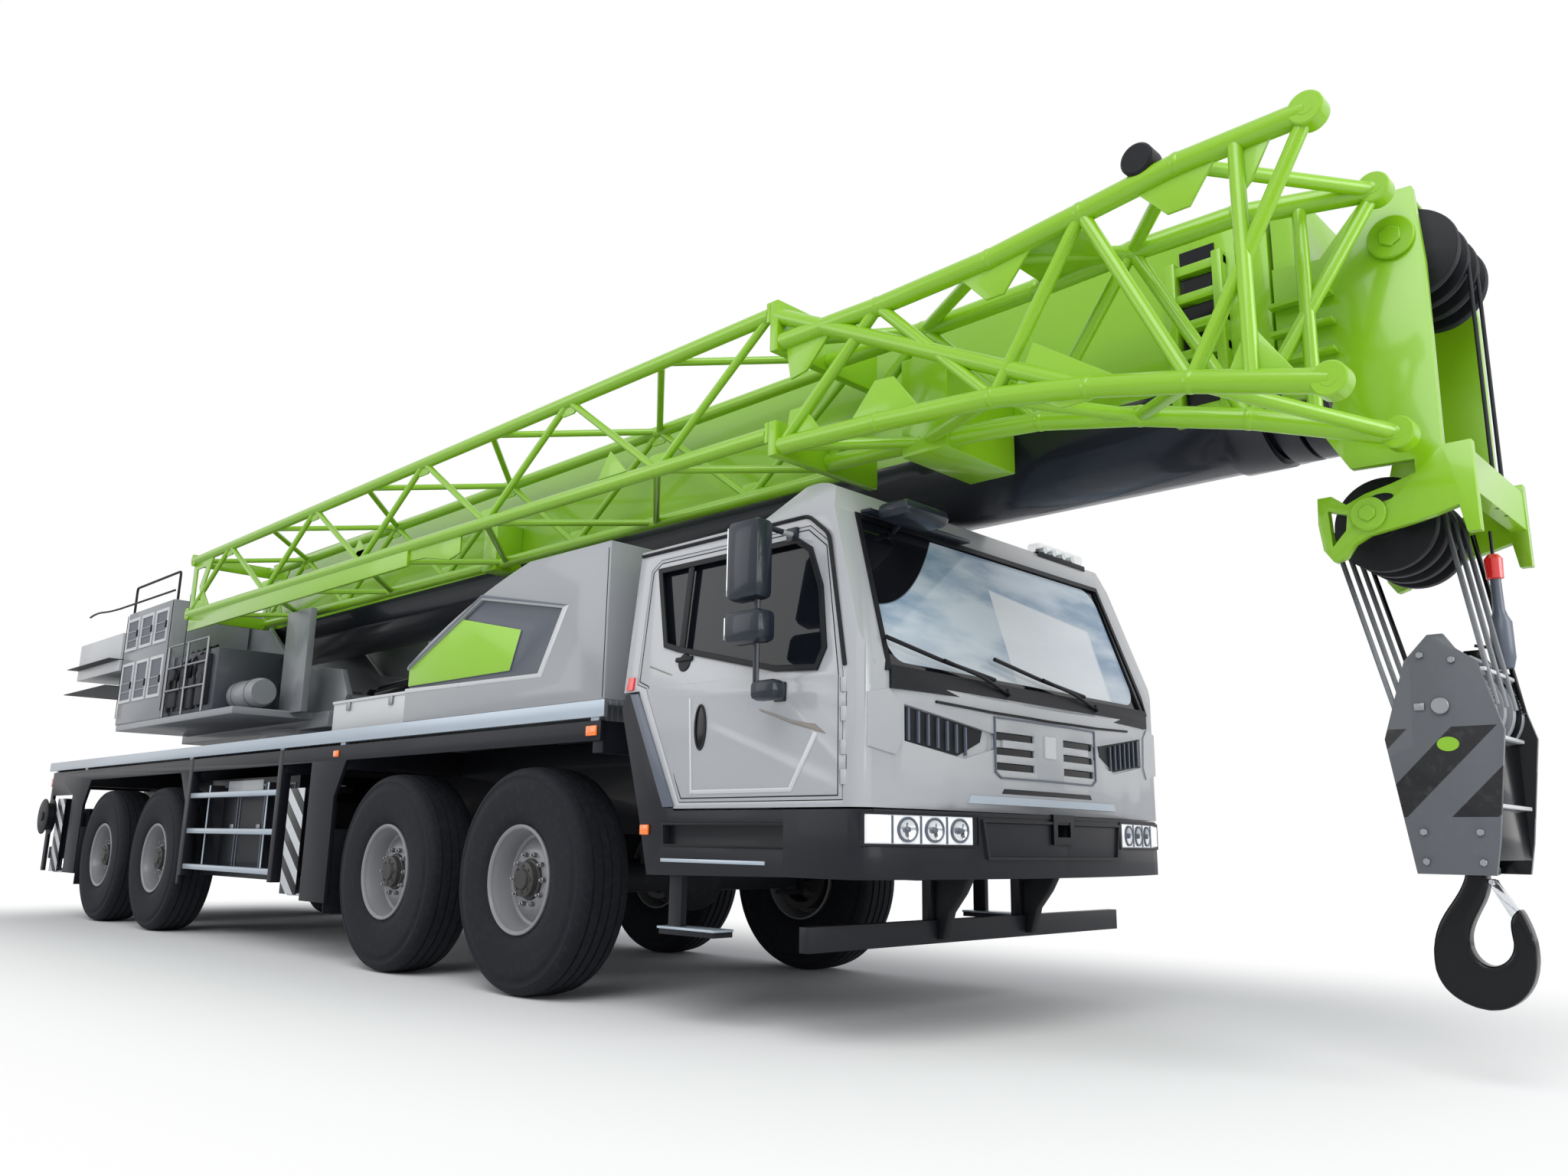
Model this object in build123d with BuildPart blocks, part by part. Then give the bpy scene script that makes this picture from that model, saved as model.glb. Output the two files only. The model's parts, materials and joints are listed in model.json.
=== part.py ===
from build123d import *
import os

# A four axle mobile crane in road order: carrier with cab, slewing superstructure,
# telescopic boom with a lattice jib stowed on its right side, and a hook block.
# X runs forward, Y to the left and Z up. The origin is on the ground under the
# middle of the whole machine. All sizes are in millimetres.

# clearances
RUNNING_GAP = 6
PIN_GAP = 0.5
SEAT_GAP = 0.3

# carrier
HALF_WIDTH = 1500
DECK_TOP = 1770
DECK_THICKNESS = 30
DECK_EDGE_HEIGHT = 100
DECK_EDGE_THICKNESS = 30
DECK_FRONT = 3410
FRAME_HALF_WIDTH = 430
FRAME_BOTTOM = 1000
FRAME_TOP = 1650
FRAME_FRONT = 3330
NOSE_FRONT = 4900
NOSE_BOTTOM = 760
SKIRT_THICKNESS = 30
SKIRT_INSET = 20
ARCH_TOP = 1530

# wheels and axles
TYRE_RADIUS = 702
TYRE_WIDTH = 390
RIM_RADIUS = 330
RIM_WALL = 16
RIM_WIDTH = 352
WHEEL_CENTRE_Y = 1285
DISC_THICKNESS = 22
HUB_RADIUS = 150
SPINDLE_RADIUS = 45
SPINDLE_LENGTH = 110
AXLE_RADIUS = 95
KINGPIN_Y = 1000
KINGPIN_RADIUS = 40
KINGPIN_BOSS_RADIUS = 70
KINGPIN_BOSS_HALF = 100
YOKE_PLATE = 30
YOKE_HALF_LENGTH = 70

# axles, front to rear: name, place along X, steered or not
AXLES = [
    ("1", 2550, True),
    ("2", 830, True),
    ("3", -3930, False),
    ("4", -5580, False),
]
SIDES = [("right", -1), ("left", 1)]

# outriggers: name, place along X of the jacks
JACK_BEHIND_AXLE = 1630
OUTRIGGERS = [("front", -710), ("rear", AXLES[-1][1] - JACK_BEHIND_AXLE)]
TAIL_BEHIND_JACK = 490
TAIL_REAR = OUTRIGGERS[-1][1] - TAIL_BEHIND_JACK
DECK_OVERHANG = 120
BEAM_WIDTH = 180
BEAM_HEIGHT = 280
BEAM_CENTRE_Z = 1040
BEAM_PITCH = 240
BEAM_REACH = 1100
BEAM_BOX_WALL = 30
BEAM_BOX_END = 1240
JACK_Y = 1370
JACK_SLEEVE_HALF = 92
JACK_SLEEVE_BOTTOM = 640
JACK_SLEEVE_TOP = 1330
JACK_ROD_RADIUS = 60
JACK_PAD_RADIUS = 165
JACK_PAD_BOTTOM = 470
JACK_PAD_THICKNESS = 50
JACK_PAD_Y = JACK_Y - 75
COVER_HALF_WIDTH = 150
COVER_THICKNESS = 12
COVER_BOTTOM = 480

# carrier cab
CAB_REAR = 3590
CAB_FRONT = 5500
CAB_BOTTOM = 1125
NOSE_TOP = CAB_BOTTOM
CAB_BELT = 1750
CAB_ROOF = 2650
CAB_HUMP = 2825
CAB_ROOF_HALF_WIDTH = 1400
CAB_WALL = 60
GLASS_THICKNESS = 8
DOOR_GAP = 5
DOOR_FRONT = 5290
CORNER_X = 5295
BUMPER_BOTTOM = 790
BUMPER_FRONT = 5560
BUMPER_CORNER_X = 5320

# superstructure
SLEW_X = -3250
SLEW_RING_RADIUS = 700
SLEW_RING_TOP = 1885
TURNTABLE_BOTTOM = SLEW_RING_TOP + SEAT_GAP
TURNTABLE_TOP = 2140
CHEEK_INNER = 470
CHEEK_OUTER = 530
PIVOT_X = -4650
PIVOT_Z = 3200
PIVOT_PIN_RADIUS = 60

# boom
BOOM_HALF_WIDTH = 420
BOOM_TOP = 3970
BOOM_BOTTOM = 2850
BOOM_WALL = 25
BOOM_REAR = -4350
BOOM_FRONT = 6900
SECTION_GAP = 12
COLLAR_LENGTH = 110
WEAR_PAD_LENGTH = 160
COLLAR_RISE = 14

# luffing cylinder
FOOT_X = -2350
FOOT_Z = 2300
EYE_X = 1150
EYE_Z = 2600
BARREL_RADIUS = 150
ROD_RADIUS = 105
LUFF_PIN_RADIUS = 55
EYE_RADIUS = 120
EYE_HALF_WIDTH = 110

# boom head and hook block
SHEAVE_RADIUS = 215
SHEAVE_WIDTH = 50
HEAD_PLATE_INNER = 400
HEAD_PLATE_OUTER = 450
TOP_SHEAVE = (7600, 3630)
LOW_SHEAVE = (7400, 2390)
HOOK_X = 7560
CHEEK_PLATE_Y = 290
CHEEK_PLATE_THICKNESS = 24
BLOCK_SHEAVE_Z = 1560
BLOCK_SHEAVE_RADIUS = 190
# sheaves of head and block: place along Y
SHEAVE_Y = [-225, -75, 75, 225]
ROPE_RADIUS = 11
HOOK_SHANK_RADIUS = 42

# stowed jib, given at places along its length
# station: X, outer Y, inner Y, height of the lower chords, height of the upper chords
JIB_REAR = (-3960, -1400, -610, 3200, 3780)
JIB_JOINT = (4680, -1400, -610, 3150, 3860)
JIB_BASE_STATIONS = [
    (4740, -1390, -1000, 3070, 3680),
    (5420, -1390, -1000, 3040, 3670),
    (6110, -1390, -980, 2990, 3690),
    (6600, -1390, -920, 2910, 3740),
    (7060, -1390, -820, 2810, 3790),
    (7600, -1390, -620, 2665, 3790),
]
TIP_BAYS = 9
JIB_END_PLATE = 30
CHORD_RADIUS = 44
BRACE_RADIUS = 24
BASE_CHORD_RADIUS = 50
BASE_BRACE_RADIUS = 32
FORK_EYE_RADIUS = 70
FORK_EYE_HALF_WIDTH = 45
GUSSET_THICKNESS = 16


def bar(start, end, radius):
    """A round bar between two points."""
    along = Vector(*end) - Vector(*start)
    seat = Plane(origin=start, z_dir=along)
    foot = (Align.CENTER, Align.CENTER, Align.MIN)
    return seat * Cylinder(radius, along.length, align=foot, mode=Mode.PRIVATE)


def block(x_range, y_range, z_range):
    """A box between pairs of limits."""
    size = [high - low for low, high in (x_range, y_range, z_range)]
    middle = [(high + low) / 2 for low, high in (x_range, y_range, z_range)]
    return Pos(*middle) * Box(*size, mode=Mode.PRIVATE)


def side_plate(outline, y_low, y_high):
    """A plate cut to an outline of (x, z) points, between two places in Y."""
    with BuildPart(mode=Mode.PRIVATE) as plate:
        with BuildSketch(Plane.XZ.offset(-y_low)):
            with BuildLine():
                Polyline(*outline, close=True)
            make_face()
        extrude(amount=y_low - y_high)
    return plate.part


def mirrored(shape):
    """A shape and its mirror image across the middle plane."""
    return [shape, mirror(shape, about=Plane.XZ)]


def y_span(side, low, high):
    """Limits in Y on one side of the machine, from distances off the middle plane."""
    return (low, high) if side > 0 else (-high, -low)


def save(shape, name):
    """Label a finished piece and write its file."""
    shape.label = name
    export_step(shape, f"parts/{name}.step")


os.makedirs("parts", exist_ok=True)


# chassis frame with slew ring, outrigger boxes and boom rest, and the skirts on its cross members
BOX_HALF_HEIGHT = BEAM_HEIGHT / 2 + RUNNING_GAP + BEAM_BOX_WALL
BOX_HALF_LENGTH = BEAM_PITCH / 2 + BEAM_WIDTH / 2 + RUNNING_GAP + BEAM_BOX_WALL
BOX_BOTTOM = BEAM_CENTRE_Z - BOX_HALF_HEIGHT
BOX_TOP = BEAM_CENTRE_Z + BOX_HALF_HEIGHT
REST_X = (CAB_REAR + DECK_FRONT) / 2
REST_HALF_LENGTH = 60
REST_HALF_WIDTH = 330
SKIRT_OUTER = HALF_WIDTH - SKIRT_INSET
SKIRT_INNER = SKIRT_OUTER - SKIRT_THICKNESS
REST_GAP = 25

frame_pieces = [
    block((TAIL_REAR, FRAME_FRONT), (-FRAME_HALF_WIDTH, FRAME_HALF_WIDTH), (FRAME_BOTTOM, FRAME_TOP)),
    block((FRAME_FRONT - 300, NOSE_FRONT), (-FRAME_HALF_WIDTH, FRAME_HALF_WIDTH), (NOSE_BOTTOM, NOSE_TOP)),
    block((REST_X - REST_HALF_LENGTH, REST_X + REST_HALF_LENGTH),
          (-REST_HALF_WIDTH, REST_HALF_WIDTH), (NOSE_TOP - 40, BOOM_BOTTOM - REST_GAP)),
]
for name, jack_x in OUTRIGGERS:
    frame_pieces.append(block((jack_x - BOX_HALF_LENGTH, jack_x + BOX_HALF_LENGTH),
                              (-BEAM_BOX_END, BEAM_BOX_END), (BOX_BOTTOM, BOX_TOP)))

# cross members under the deck: place along X
CROSS_MEMBER_X = [TAIL_REAR + 140, -6420, -3150, -1080, 40, 3300]
CROSS_MEMBER_HALF = 50
CROSS_MEMBER_DROP = 190
for place in CROSS_MEMBER_X:
    frame_pieces.append(block((place - CROSS_MEMBER_HALF, place + CROSS_MEMBER_HALF),
                              (-SKIRT_INNER, SKIRT_INNER), (FRAME_TOP - CROSS_MEMBER_DROP, FRAME_TOP)))

# skirt along each side, with arches over the wheels
SKIRT_TOP = FRAME_TOP
REAR_ARCH_FRONT = -3190
REAR_ARCH_REAR = -6390
FRONT_ARCH_REAR = -40
FRONT_ARCH_FRONT = 3360
STEP_PANEL_REAR = -510
SKIRT_LOW = 480
JACK_BAY_FRONT = OUTRIGGERS[-1][1] + 390
skirt_outline = [
    (TAIL_REAR, SKIRT_TOP), (TAIL_REAR, SKIRT_LOW), (TAIL_REAR + 100, SKIRT_LOW),
    (TAIL_REAR + 100, ARCH_TOP - 160), (JACK_BAY_FRONT, ARCH_TOP - 160), (JACK_BAY_FRONT, SKIRT_LOW),
    (REAR_ARCH_REAR, SKIRT_LOW),
    (REAR_ARCH_REAR, 1250), (REAR_ARCH_REAR + 200, ARCH_TOP), (REAR_ARCH_FRONT - 200, ARCH_TOP),
    (REAR_ARCH_FRONT, 1250), (REAR_ARCH_FRONT, SKIRT_LOW), (REAR_ARCH_FRONT + 60, SKIRT_LOW),
    (REAR_ARCH_FRONT + 60, ARCH_TOP), (STEP_PANEL_REAR + 30, ARCH_TOP), (STEP_PANEL_REAR + 30, 440),
    (FRONT_ARCH_REAR, 440), (FRONT_ARCH_REAR, 1250), (FRONT_ARCH_REAR + 160, ARCH_TOP),
    (FRONT_ARCH_FRONT, ARCH_TOP), (FRONT_ARCH_FRONT, SKIRT_TOP),
]
skirt = side_plate(skirt_outline, SKIRT_INNER, SKIRT_OUTER)
RING_SINK = 5
with BuildPart() as chassis_frame:
    add(frame_pieces)
    with BuildSketch(Plane.XY.offset(FRAME_TOP - RING_SINK)):
        with Locations((SLEW_X, 0)):
            Circle(SLEW_RING_RADIUS)
    extrude(amount=SLEW_RING_TOP - FRAME_TOP + RING_SINK)
    # pockets that the outrigger beams slide in
    for name, jack_x in OUTRIGGERS:
        for side_name, side in SIDES:
            pocket_x = jack_x + side * BEAM_PITCH / 2
            reach = (BEAM_BOX_END + BEAM_REACH + RUNNING_GAP) / 2
            pocket_bottom = BEAM_CENTRE_Z - BEAM_HEIGHT / 2 - SEAT_GAP
            with Locations((pocket_x, side * (BEAM_BOX_END - reach), pocket_bottom)):
                Box(BEAM_WIDTH + 2 * RUNNING_GAP, 2 * reach, BEAM_HEIGHT + SEAT_GAP + RUNNING_GAP,
                    align=(Align.CENTER, Align.CENTER, Align.MIN), mode=Mode.SUBTRACT)
save(chassis_frame.part, "chassis_frame")


# deck with its raised edge bands
DECK_BOTTOM = DECK_TOP - DECK_THICKNESS
DECK_REAR = TAIL_REAR - DECK_OVERHANG
ENGINE_BAY = ((1250, 3200), (-560, 560))
deck_bands = mirrored(block((DECK_REAR, DECK_FRONT), (HALF_WIDTH - DECK_EDGE_THICKNESS, HALF_WIDTH),
                            (DECK_TOP - DECK_EDGE_HEIGHT, DECK_TOP)))
DECK_RIB_HALF = 40
deck_ribs = [block((place - DECK_RIB_HALF, place + DECK_RIB_HALF), (-SKIRT_OUTER, SKIRT_OUTER),
                   (FRAME_TOP, DECK_BOTTOM)) for place in CROSS_MEMBER_X]
with BuildPart() as deck:
    add(block((DECK_REAR, DECK_FRONT), (-HALF_WIDTH, HALF_WIDTH), (DECK_BOTTOM, DECK_TOP)))
    add(deck_bands)
    add(deck_ribs)
    with BuildSketch(Plane.XY.offset(DECK_TOP)):
        with Locations((SLEW_X, 0)):
            Circle(SLEW_RING_RADIUS + RUNNING_GAP)
    extrude(amount=FRAME_TOP - DECK_TOP, mode=Mode.SUBTRACT)
    add(block(ENGINE_BAY[0], ENGINE_BAY[1], (FRAME_TOP, DECK_TOP)), mode=Mode.SUBTRACT)
save(deck.part, "deck")


# lockers behind the ladders, the ladders themselves and the box on the deck
LOCKER_X = (-3130, -1170)
LOCKER_Y = (FRAME_HALF_WIDTH, 1260)
LOCKER_Z = (560, FRAME_TOP - CROSS_MEMBER_DROP)
RUNG_X = (-3100, -1100)
RUNG_Z = [620, 950, 1280]
RUNG_HEIGHT = 46
STEP_X = (STEP_PANEL_REAR + 40, -170)
STEP_Z = [585, 940, 1290]
POST_WIDTH = 60
RUNG_Y = (1400, 1470)
DECK_BOX = ((-400, 870), (-1380, -620), (DECK_TOP, 2020))
locker_pieces = [
    block(LOCKER_X, LOCKER_Y, LOCKER_Z),
    block((LOCKER_X[0] + 300, LOCKER_X[0] + 330), (LOCKER_Y[1], RUNG_Y[0]), (RUNG_Z[0], 1400)),
    block((LOCKER_X[1] - 330, LOCKER_X[1] - 300), (LOCKER_Y[1], RUNG_Y[0]), (RUNG_Z[0], 1400)),
]
for height in RUNG_Z:
    locker_pieces.append(block(RUNG_X, RUNG_Y, (height, height + RUNG_HEIGHT)))
with BuildPart() as side_lockers:
    for piece in locker_pieces:
        add(mirrored(piece))
    for height in STEP_Z:
        add(mirrored(block(STEP_X, (SKIRT_INNER - 190, SKIRT_INNER), (height, height + RUNG_HEIGHT))))
    add(block(*DECK_BOX))
save(side_lockers.part, "side_lockers")


# fairings over the engine bay, each with a stepped recess in its outer face
FAIRING_REAR = 1000
FAIRING_FRONT = 3405
FAIRING_TOP = 2745
FAIRING_TAIL_TOP = 2180
FAIRING_INNER = 760
RECESS_DEPTH = 30
PANEL_RISE = 12
HOOD_TOP = 2260
HOOD_WALL = 30
with BuildPart() as fairing_blank:
    with BuildSketch(Plane.XZ.offset(-HALF_WIDTH)):
        with BuildLine():
            Polyline((FAIRING_REAR, FAIRING_TAIL_TOP), (FAIRING_REAR, DECK_TOP), (FAIRING_FRONT, DECK_TOP),
                     (FAIRING_FRONT, FAIRING_TOP), (2530, FAIRING_TOP))
            ThreePointArc((2530, FAIRING_TOP), (1960, 2590), (FAIRING_REAR, FAIRING_TAIL_TOP))
        make_face()
    extrude(amount=HALF_WIDTH - FAIRING_INNER)
RECESS = [(1960, 2560), (2930, 2380), (2690, 1980), (FAIRING_REAR - 10, 2020), (FAIRING_REAR - 10, 2150)]
PANEL = [(1700, 2460), (2450, 2300), (2340, 2035), (FAIRING_REAR, 2035), (FAIRING_REAR, 2160)]
recess = side_plate(RECESS, HALF_WIDTH - RECESS_DEPTH, HALF_WIDTH + 10)
panel = side_plate(PANEL, HALF_WIDTH - RECESS_DEPTH, HALF_WIDTH - RECESS_DEPTH + PANEL_RISE)
fairing = (fairing_blank.part - recess) + panel
HOOD_X = (1200, 3300)
with BuildPart() as engine_fairings:
    add(mirrored(fairing))
    add(block(HOOD_X, (-FAIRING_INNER, FAIRING_INNER), (DECK_TOP, HOOD_TOP)))
    add(block((HOOD_X[0] + HOOD_WALL, HOOD_X[1] - HOOD_WALL), (-600, 600), (DECK_TOP, HOOD_TOP - HOOD_WALL)),
        mode=Mode.SUBTRACT)
save(engine_fairings.part, "engine_fairings")


# engine
with BuildPart() as engine_block:
    add(block((1400, 3050), (-400, 400), (FRAME_TOP, 2160)))
save(engine_block.part, "engine_block")


# cab outline shared by shell, doors and glass
def cab_body(inset):
    """The cab's closed volume, drawn in by one wall thickness or by none."""
    with BuildPart(mode=Mode.PRIVATE) as body:
        with BuildSketch(Plane.XZ.offset(-HALF_WIDTH)):
            with BuildLine():
                Polyline(
                    (5090, CAB_HUMP - 40 - inset), (5440 - inset, 1740), (CAB_FRONT - inset, 1700),
                    (CAB_FRONT - inset, 1210), (5460 - inset, CAB_BOTTOM + inset), (4070, CAB_BOTTOM + inset),
                    (3730 + inset / 2, 1790), (CAB_REAR + inset, 1790), (CAB_REAR + inset, CAB_ROOF - inset),
                    (4600, CAB_ROOF - inset + 10), (4860, CAB_HUMP - inset),
                )
                ThreePointArc((4860, CAB_HUMP - inset), (4990, CAB_HUMP - inset),
                              (5090, CAB_HUMP - 40 - inset))
            make_face()
        extrude(amount=2 * HALF_WIDTH)
        with BuildSketch(Plane.XY):
            with BuildLine():
                half = HALF_WIDTH - inset
                front = CAB_FRONT - inset
                Polyline((CORNER_X, half), (CAB_REAR + inset, half), (CAB_REAR + inset, -half),
                         (CORNER_X, -half))
                ThreePointArc((CORNER_X, -half), (CORNER_X + 76 - inset / 2, -half + 34),
                              (CORNER_X + 105 - inset, -half + 110))
                ThreePointArc((CORNER_X + 105 - inset, -half + 110), (front, 0),
                              (CORNER_X + 105 - inset, half - 110))
                ThreePointArc((CORNER_X + 105 - inset, half - 110), (CORNER_X + 76 - inset / 2, half - 34),
                              (CORNER_X, half))
            make_face()
        extrude(amount=CAB_HUMP + 100, mode=Mode.INTERSECT)
        with BuildSketch(Plane.YZ.offset(CAB_REAR - 50)):
            with BuildLine():
                half = HALF_WIDTH - inset
                roof_half = CAB_ROOF_HALF_WIDTH - inset
                Polyline((half, CAB_BELT), (half, 0), (-half, 0), (-half, CAB_BELT),
                         (-roof_half, CAB_ROOF - inset), (-roof_half + 110, CAB_HUMP + 60),
                         (roof_half - 110, CAB_HUMP + 60), (roof_half, CAB_ROOF - inset),
                         (half, CAB_BELT))
            make_face()
        extrude(amount=CAB_FRONT - CAB_REAR + 200, mode=Mode.INTERSECT)
    return body.part


cab_outer = cab_body(0)
cab_inner = cab_body(CAB_WALL)
cab_glass_outer = cab_body((CAB_WALL - GLASS_THICKNESS) / 2)
cab_glass_inner = cab_body((CAB_WALL + GLASS_THICKNESS) / 2)

DOOR_LEAF = [(DOOR_FRONT, CAB_BOTTOM + 30), (4110, CAB_BOTTOM + 30), (3790, 1800), (3700, 1830), (3700, 2520),
             (3780, 2575), (4980, 2575), (5130, 2460), (DOOR_FRONT, 1760)]
DOOR_WINDOW = [(3770, 2520), (3910, 2030), (4040, 1990), (4820, 1810), (5120, 1790), (5170, 1900),
               (5110, 2230), (5010, 2450), (4900, 2520)]
WINDSCREEN_BOTTOM = 1800
WINDSCREEN_TOP = 2640
WINDSCREEN_HALF_LOW = 1310
WINDSCREEN_HALF_TOP = 1220
REAR_WINDOW_HALF = 620
REAR_WINDOW_Z = (2080, 2520)

DOOR_DEPTH = 220
door_hole = side_plate(DOOR_LEAF, HALF_WIDTH + 20 - DOOR_DEPTH, HALF_WIDTH + 20)
with BuildPart() as door_blank:
    with BuildSketch(Plane.XZ.offset(-HALF_WIDTH - 20)):
        with BuildLine():
            Polyline(*DOOR_LEAF, close=True)
        make_face()
        offset(amount=-DOOR_GAP, kind=Kind.INTERSECTION)
    extrude(amount=DOOR_DEPTH)
window_hole = side_plate(DOOR_WINDOW, HALF_WIDTH - 300, HALF_WIDTH + 20)
with BuildPart() as window_blank:
    with BuildSketch(Plane.XZ.offset(-HALF_WIDTH - 20)):
        with BuildLine():
            Polyline(*DOOR_WINDOW, close=True)
        make_face()
        offset(amount=-SEAT_GAP, kind=Kind.INTERSECTION)
    extrude(amount=320)


def windscreen_blank(shrink):
    """The volume in front of the cab that the windscreen opening takes."""
    with BuildPart(mode=Mode.PRIVATE) as opening:
        with BuildSketch(Plane.YZ.offset(4700)):
            with BuildLine():
                low = WINDSCREEN_BOTTOM + shrink
                top = WINDSCREEN_TOP - shrink
                Polyline((WINDSCREEN_HALF_LOW - shrink, low), (WINDSCREEN_HALF_TOP - shrink, top),
                         (-WINDSCREEN_HALF_TOP + shrink, top), (-WINDSCREEN_HALF_LOW + shrink, low),
                         close=True)
            make_face()
        extrude(amount=1000)
    return opening.part


# door hinges: knuckles on one pin, the middle one on the door, the others on the shell
HINGE_X = DOOR_FRONT
HINGE_Y = HALF_WIDTH - 4
HINGE_RADIUS = 16
HINGE_HEIGHTS = [1300, 1600]
HINGE_KNUCKLE = 70


def hinge_knuckle(low, high, radius):
    """A length of hinge barrel on the left door's pin."""
    return bar((HINGE_X, HINGE_Y, low), (HINGE_X, HINGE_Y, high), radius)


door_knuckles = []
door_clearances = []
shell_knuckles = []
shell_clearances = []
for level in HINGE_HEIGHTS:
    top = level + HINGE_KNUCKLE
    door_knuckles.append(hinge_knuckle(level, top, HINGE_RADIUS))
    shell_clearances.append(hinge_knuckle(level - SEAT_GAP, top + SEAT_GAP, HINGE_RADIUS + RUNNING_GAP))
    for low, high in ((level - HINGE_KNUCKLE, level - SEAT_GAP), (top + SEAT_GAP, top + HINGE_KNUCKLE)):
        shell_knuckles.append(hinge_knuckle(low, high, HINGE_RADIUS))
        door_clearances.append(hinge_knuckle(low, high, HINGE_RADIUS + RUNNING_GAP))

# sunk lamp panels and grille slots in the cab's front
LAMP_PANEL_DEPTH = 18
LAMP_PANEL = [(1200, 1630), (440, 1520), (440, 1470), (770, 1385), (1200, 1450)]
SLOT_Y = (150, 500)
SLOT_Z = [1345, 1425, 1505]
SLOT_HEIGHT = 40
with BuildPart() as lamp_panel_blank:
    with BuildSketch(Plane.YZ.offset(CORNER_X - 100)):
        with BuildLine():
            Polyline(*LAMP_PANEL, close=True)
        make_face()
    extrude(amount=400)
lamp_panel = lamp_panel_blank.part & (cab_outer - cab_body(LAMP_PANEL_DEPTH))

cab_walls = cab_outer - cab_inner
with BuildPart() as cab_shell:
    add(cab_walls)
    add(mirrored(door_hole), mode=Mode.SUBTRACT)
    add(windscreen_blank(0), mode=Mode.SUBTRACT)
    add(mirrored(lamp_panel), mode=Mode.SUBTRACT)
    for level in SLOT_Z:
        add(mirrored(block((CAB_FRONT - 200, CAB_FRONT + 10), SLOT_Y, (level, level + SLOT_HEIGHT))),
            mode=Mode.SUBTRACT)
    for piece in shell_clearances:
        add(mirrored(piece), mode=Mode.SUBTRACT)
    for piece in shell_knuckles:
        add(mirrored(piece))
    rear_opening = block((CAB_REAR - 10, CAB_REAR + CAB_WALL + 10), (-REAR_WINDOW_HALF, REAR_WINDOW_HALF),
                         REAR_WINDOW_Z)
    add(rear_opening, mode=Mode.SUBTRACT)
save(cab_shell.part, "cab_shell")

glass_skin = cab_glass_outer - cab_glass_inner
with BuildPart() as cab_glass:
    add(glass_skin)
    rear_pane = block((CAB_REAR - 10, CAB_REAR + CAB_WALL + 10),
                      (-REAR_WINDOW_HALF + SEAT_GAP, REAR_WINDOW_HALF - SEAT_GAP),
                      (REAR_WINDOW_Z[0] + SEAT_GAP, REAR_WINDOW_Z[1] - SEAT_GAP))
    add([windscreen_blank(SEAT_GAP), rear_pane], mode=Mode.INTERSECT)
save(cab_glass.part, "cab_glass")


# doors with their mirrors on arms, and the door glass
MIRROR_Y = (1610, 1750)
MIRROR_X = (4640, 4950)
mirror_pieces = [
    block(MIRROR_X, MIRROR_Y, (2120, 2580)),
    block((4690, 4960), MIRROR_Y, (1930, 2090)),
    bar((4860, 1680, 1640), (4860, 1680, 2560), 16),
    bar((4860, 1680, 2540), (4860, 1385, 2540), 16),
    bar((4860, 1680, 1700), (4860, 1470, 1700), 16),
    block((4840, 5010), (1600, 1700), (1640, 1740)),
]
door_panels = cab_walls & door_blank.part
door_left_body = (door_panels - window_hole - door_clearances) + mirror_pieces + door_knuckles
door_glass_body = glass_skin & window_blank.part
for name, side in SIDES:
    leaf = door_left_body if side > 0 else mirror(door_left_body, about=Plane.XZ)
    pane = door_glass_body if side > 0 else mirror(door_glass_body, about=Plane.XZ)
    with BuildPart() as door:
        add(leaf)
    save(door.part, f"door_{name}")
    with BuildPart() as door_glass:
        add(pane)
    save(door_glass.part, f"door_glass_{name}")


# cab interior: raised floor with seats, dashboard, column and steering wheel
FLOOR_Z = CAB_BOTTOM + CAB_WALL
SEAT_Y = 760
FLOOR_THICKNESS = 60
SEAT_REAR = CAB_REAR + 370
CUSHION_Z = (1500, 1620)
BACK_TOP = 2180
HEADREST_TOP = 2360
DASH_X = (4990, 5200)
DASH_TOP = 1740
WHEEL_HUB = (4800, SEAT_Y, 1760)
WHEEL_RADIUS = 210
# seat parts: start and end ahead of the seat's rear, half width, low and high
SEAT_PARTS = [
    (270, 540, 180, FLOOR_Z + FLOOR_THICKNESS, CUSHION_Z[0]),
    (0, 600, 260, CUSHION_Z[0], CUSHION_Z[1]),
    (0, 130, 250, CUSHION_Z[1], BACK_TOP),
    (10, 110, 130, BACK_TOP, HEADREST_TOP),
]
with BuildPart() as cab_interior:
    add(block((SEAT_REAR + 240, DASH_X[1] - 50), (-1380, 1380), (FLOOR_Z, FLOOR_Z + FLOOR_THICKNESS)))
    for side in (-1, 1):
        middle = side * SEAT_Y
        for start, end, half, low, high in SEAT_PARTS:
            add(block((SEAT_REAR + start, SEAT_REAR + end), (middle - half, middle + half), (low, high)))
    add(block(DASH_X, (-1300, 1300), (FLOOR_Z + FLOOR_THICKNESS, DASH_TOP)))
    add(bar((DASH_X[0], SEAT_Y, DASH_TOP - 180), WHEEL_HUB, 30))
    with Locations(Plane(origin=WHEEL_HUB, z_dir=(-190, 0, 200))):
        Torus(WHEEL_RADIUS, 16)
        Box(2 * WHEEL_RADIUS - 20, 40, 20)
save(cab_interior.part, "cab_interior")


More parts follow.
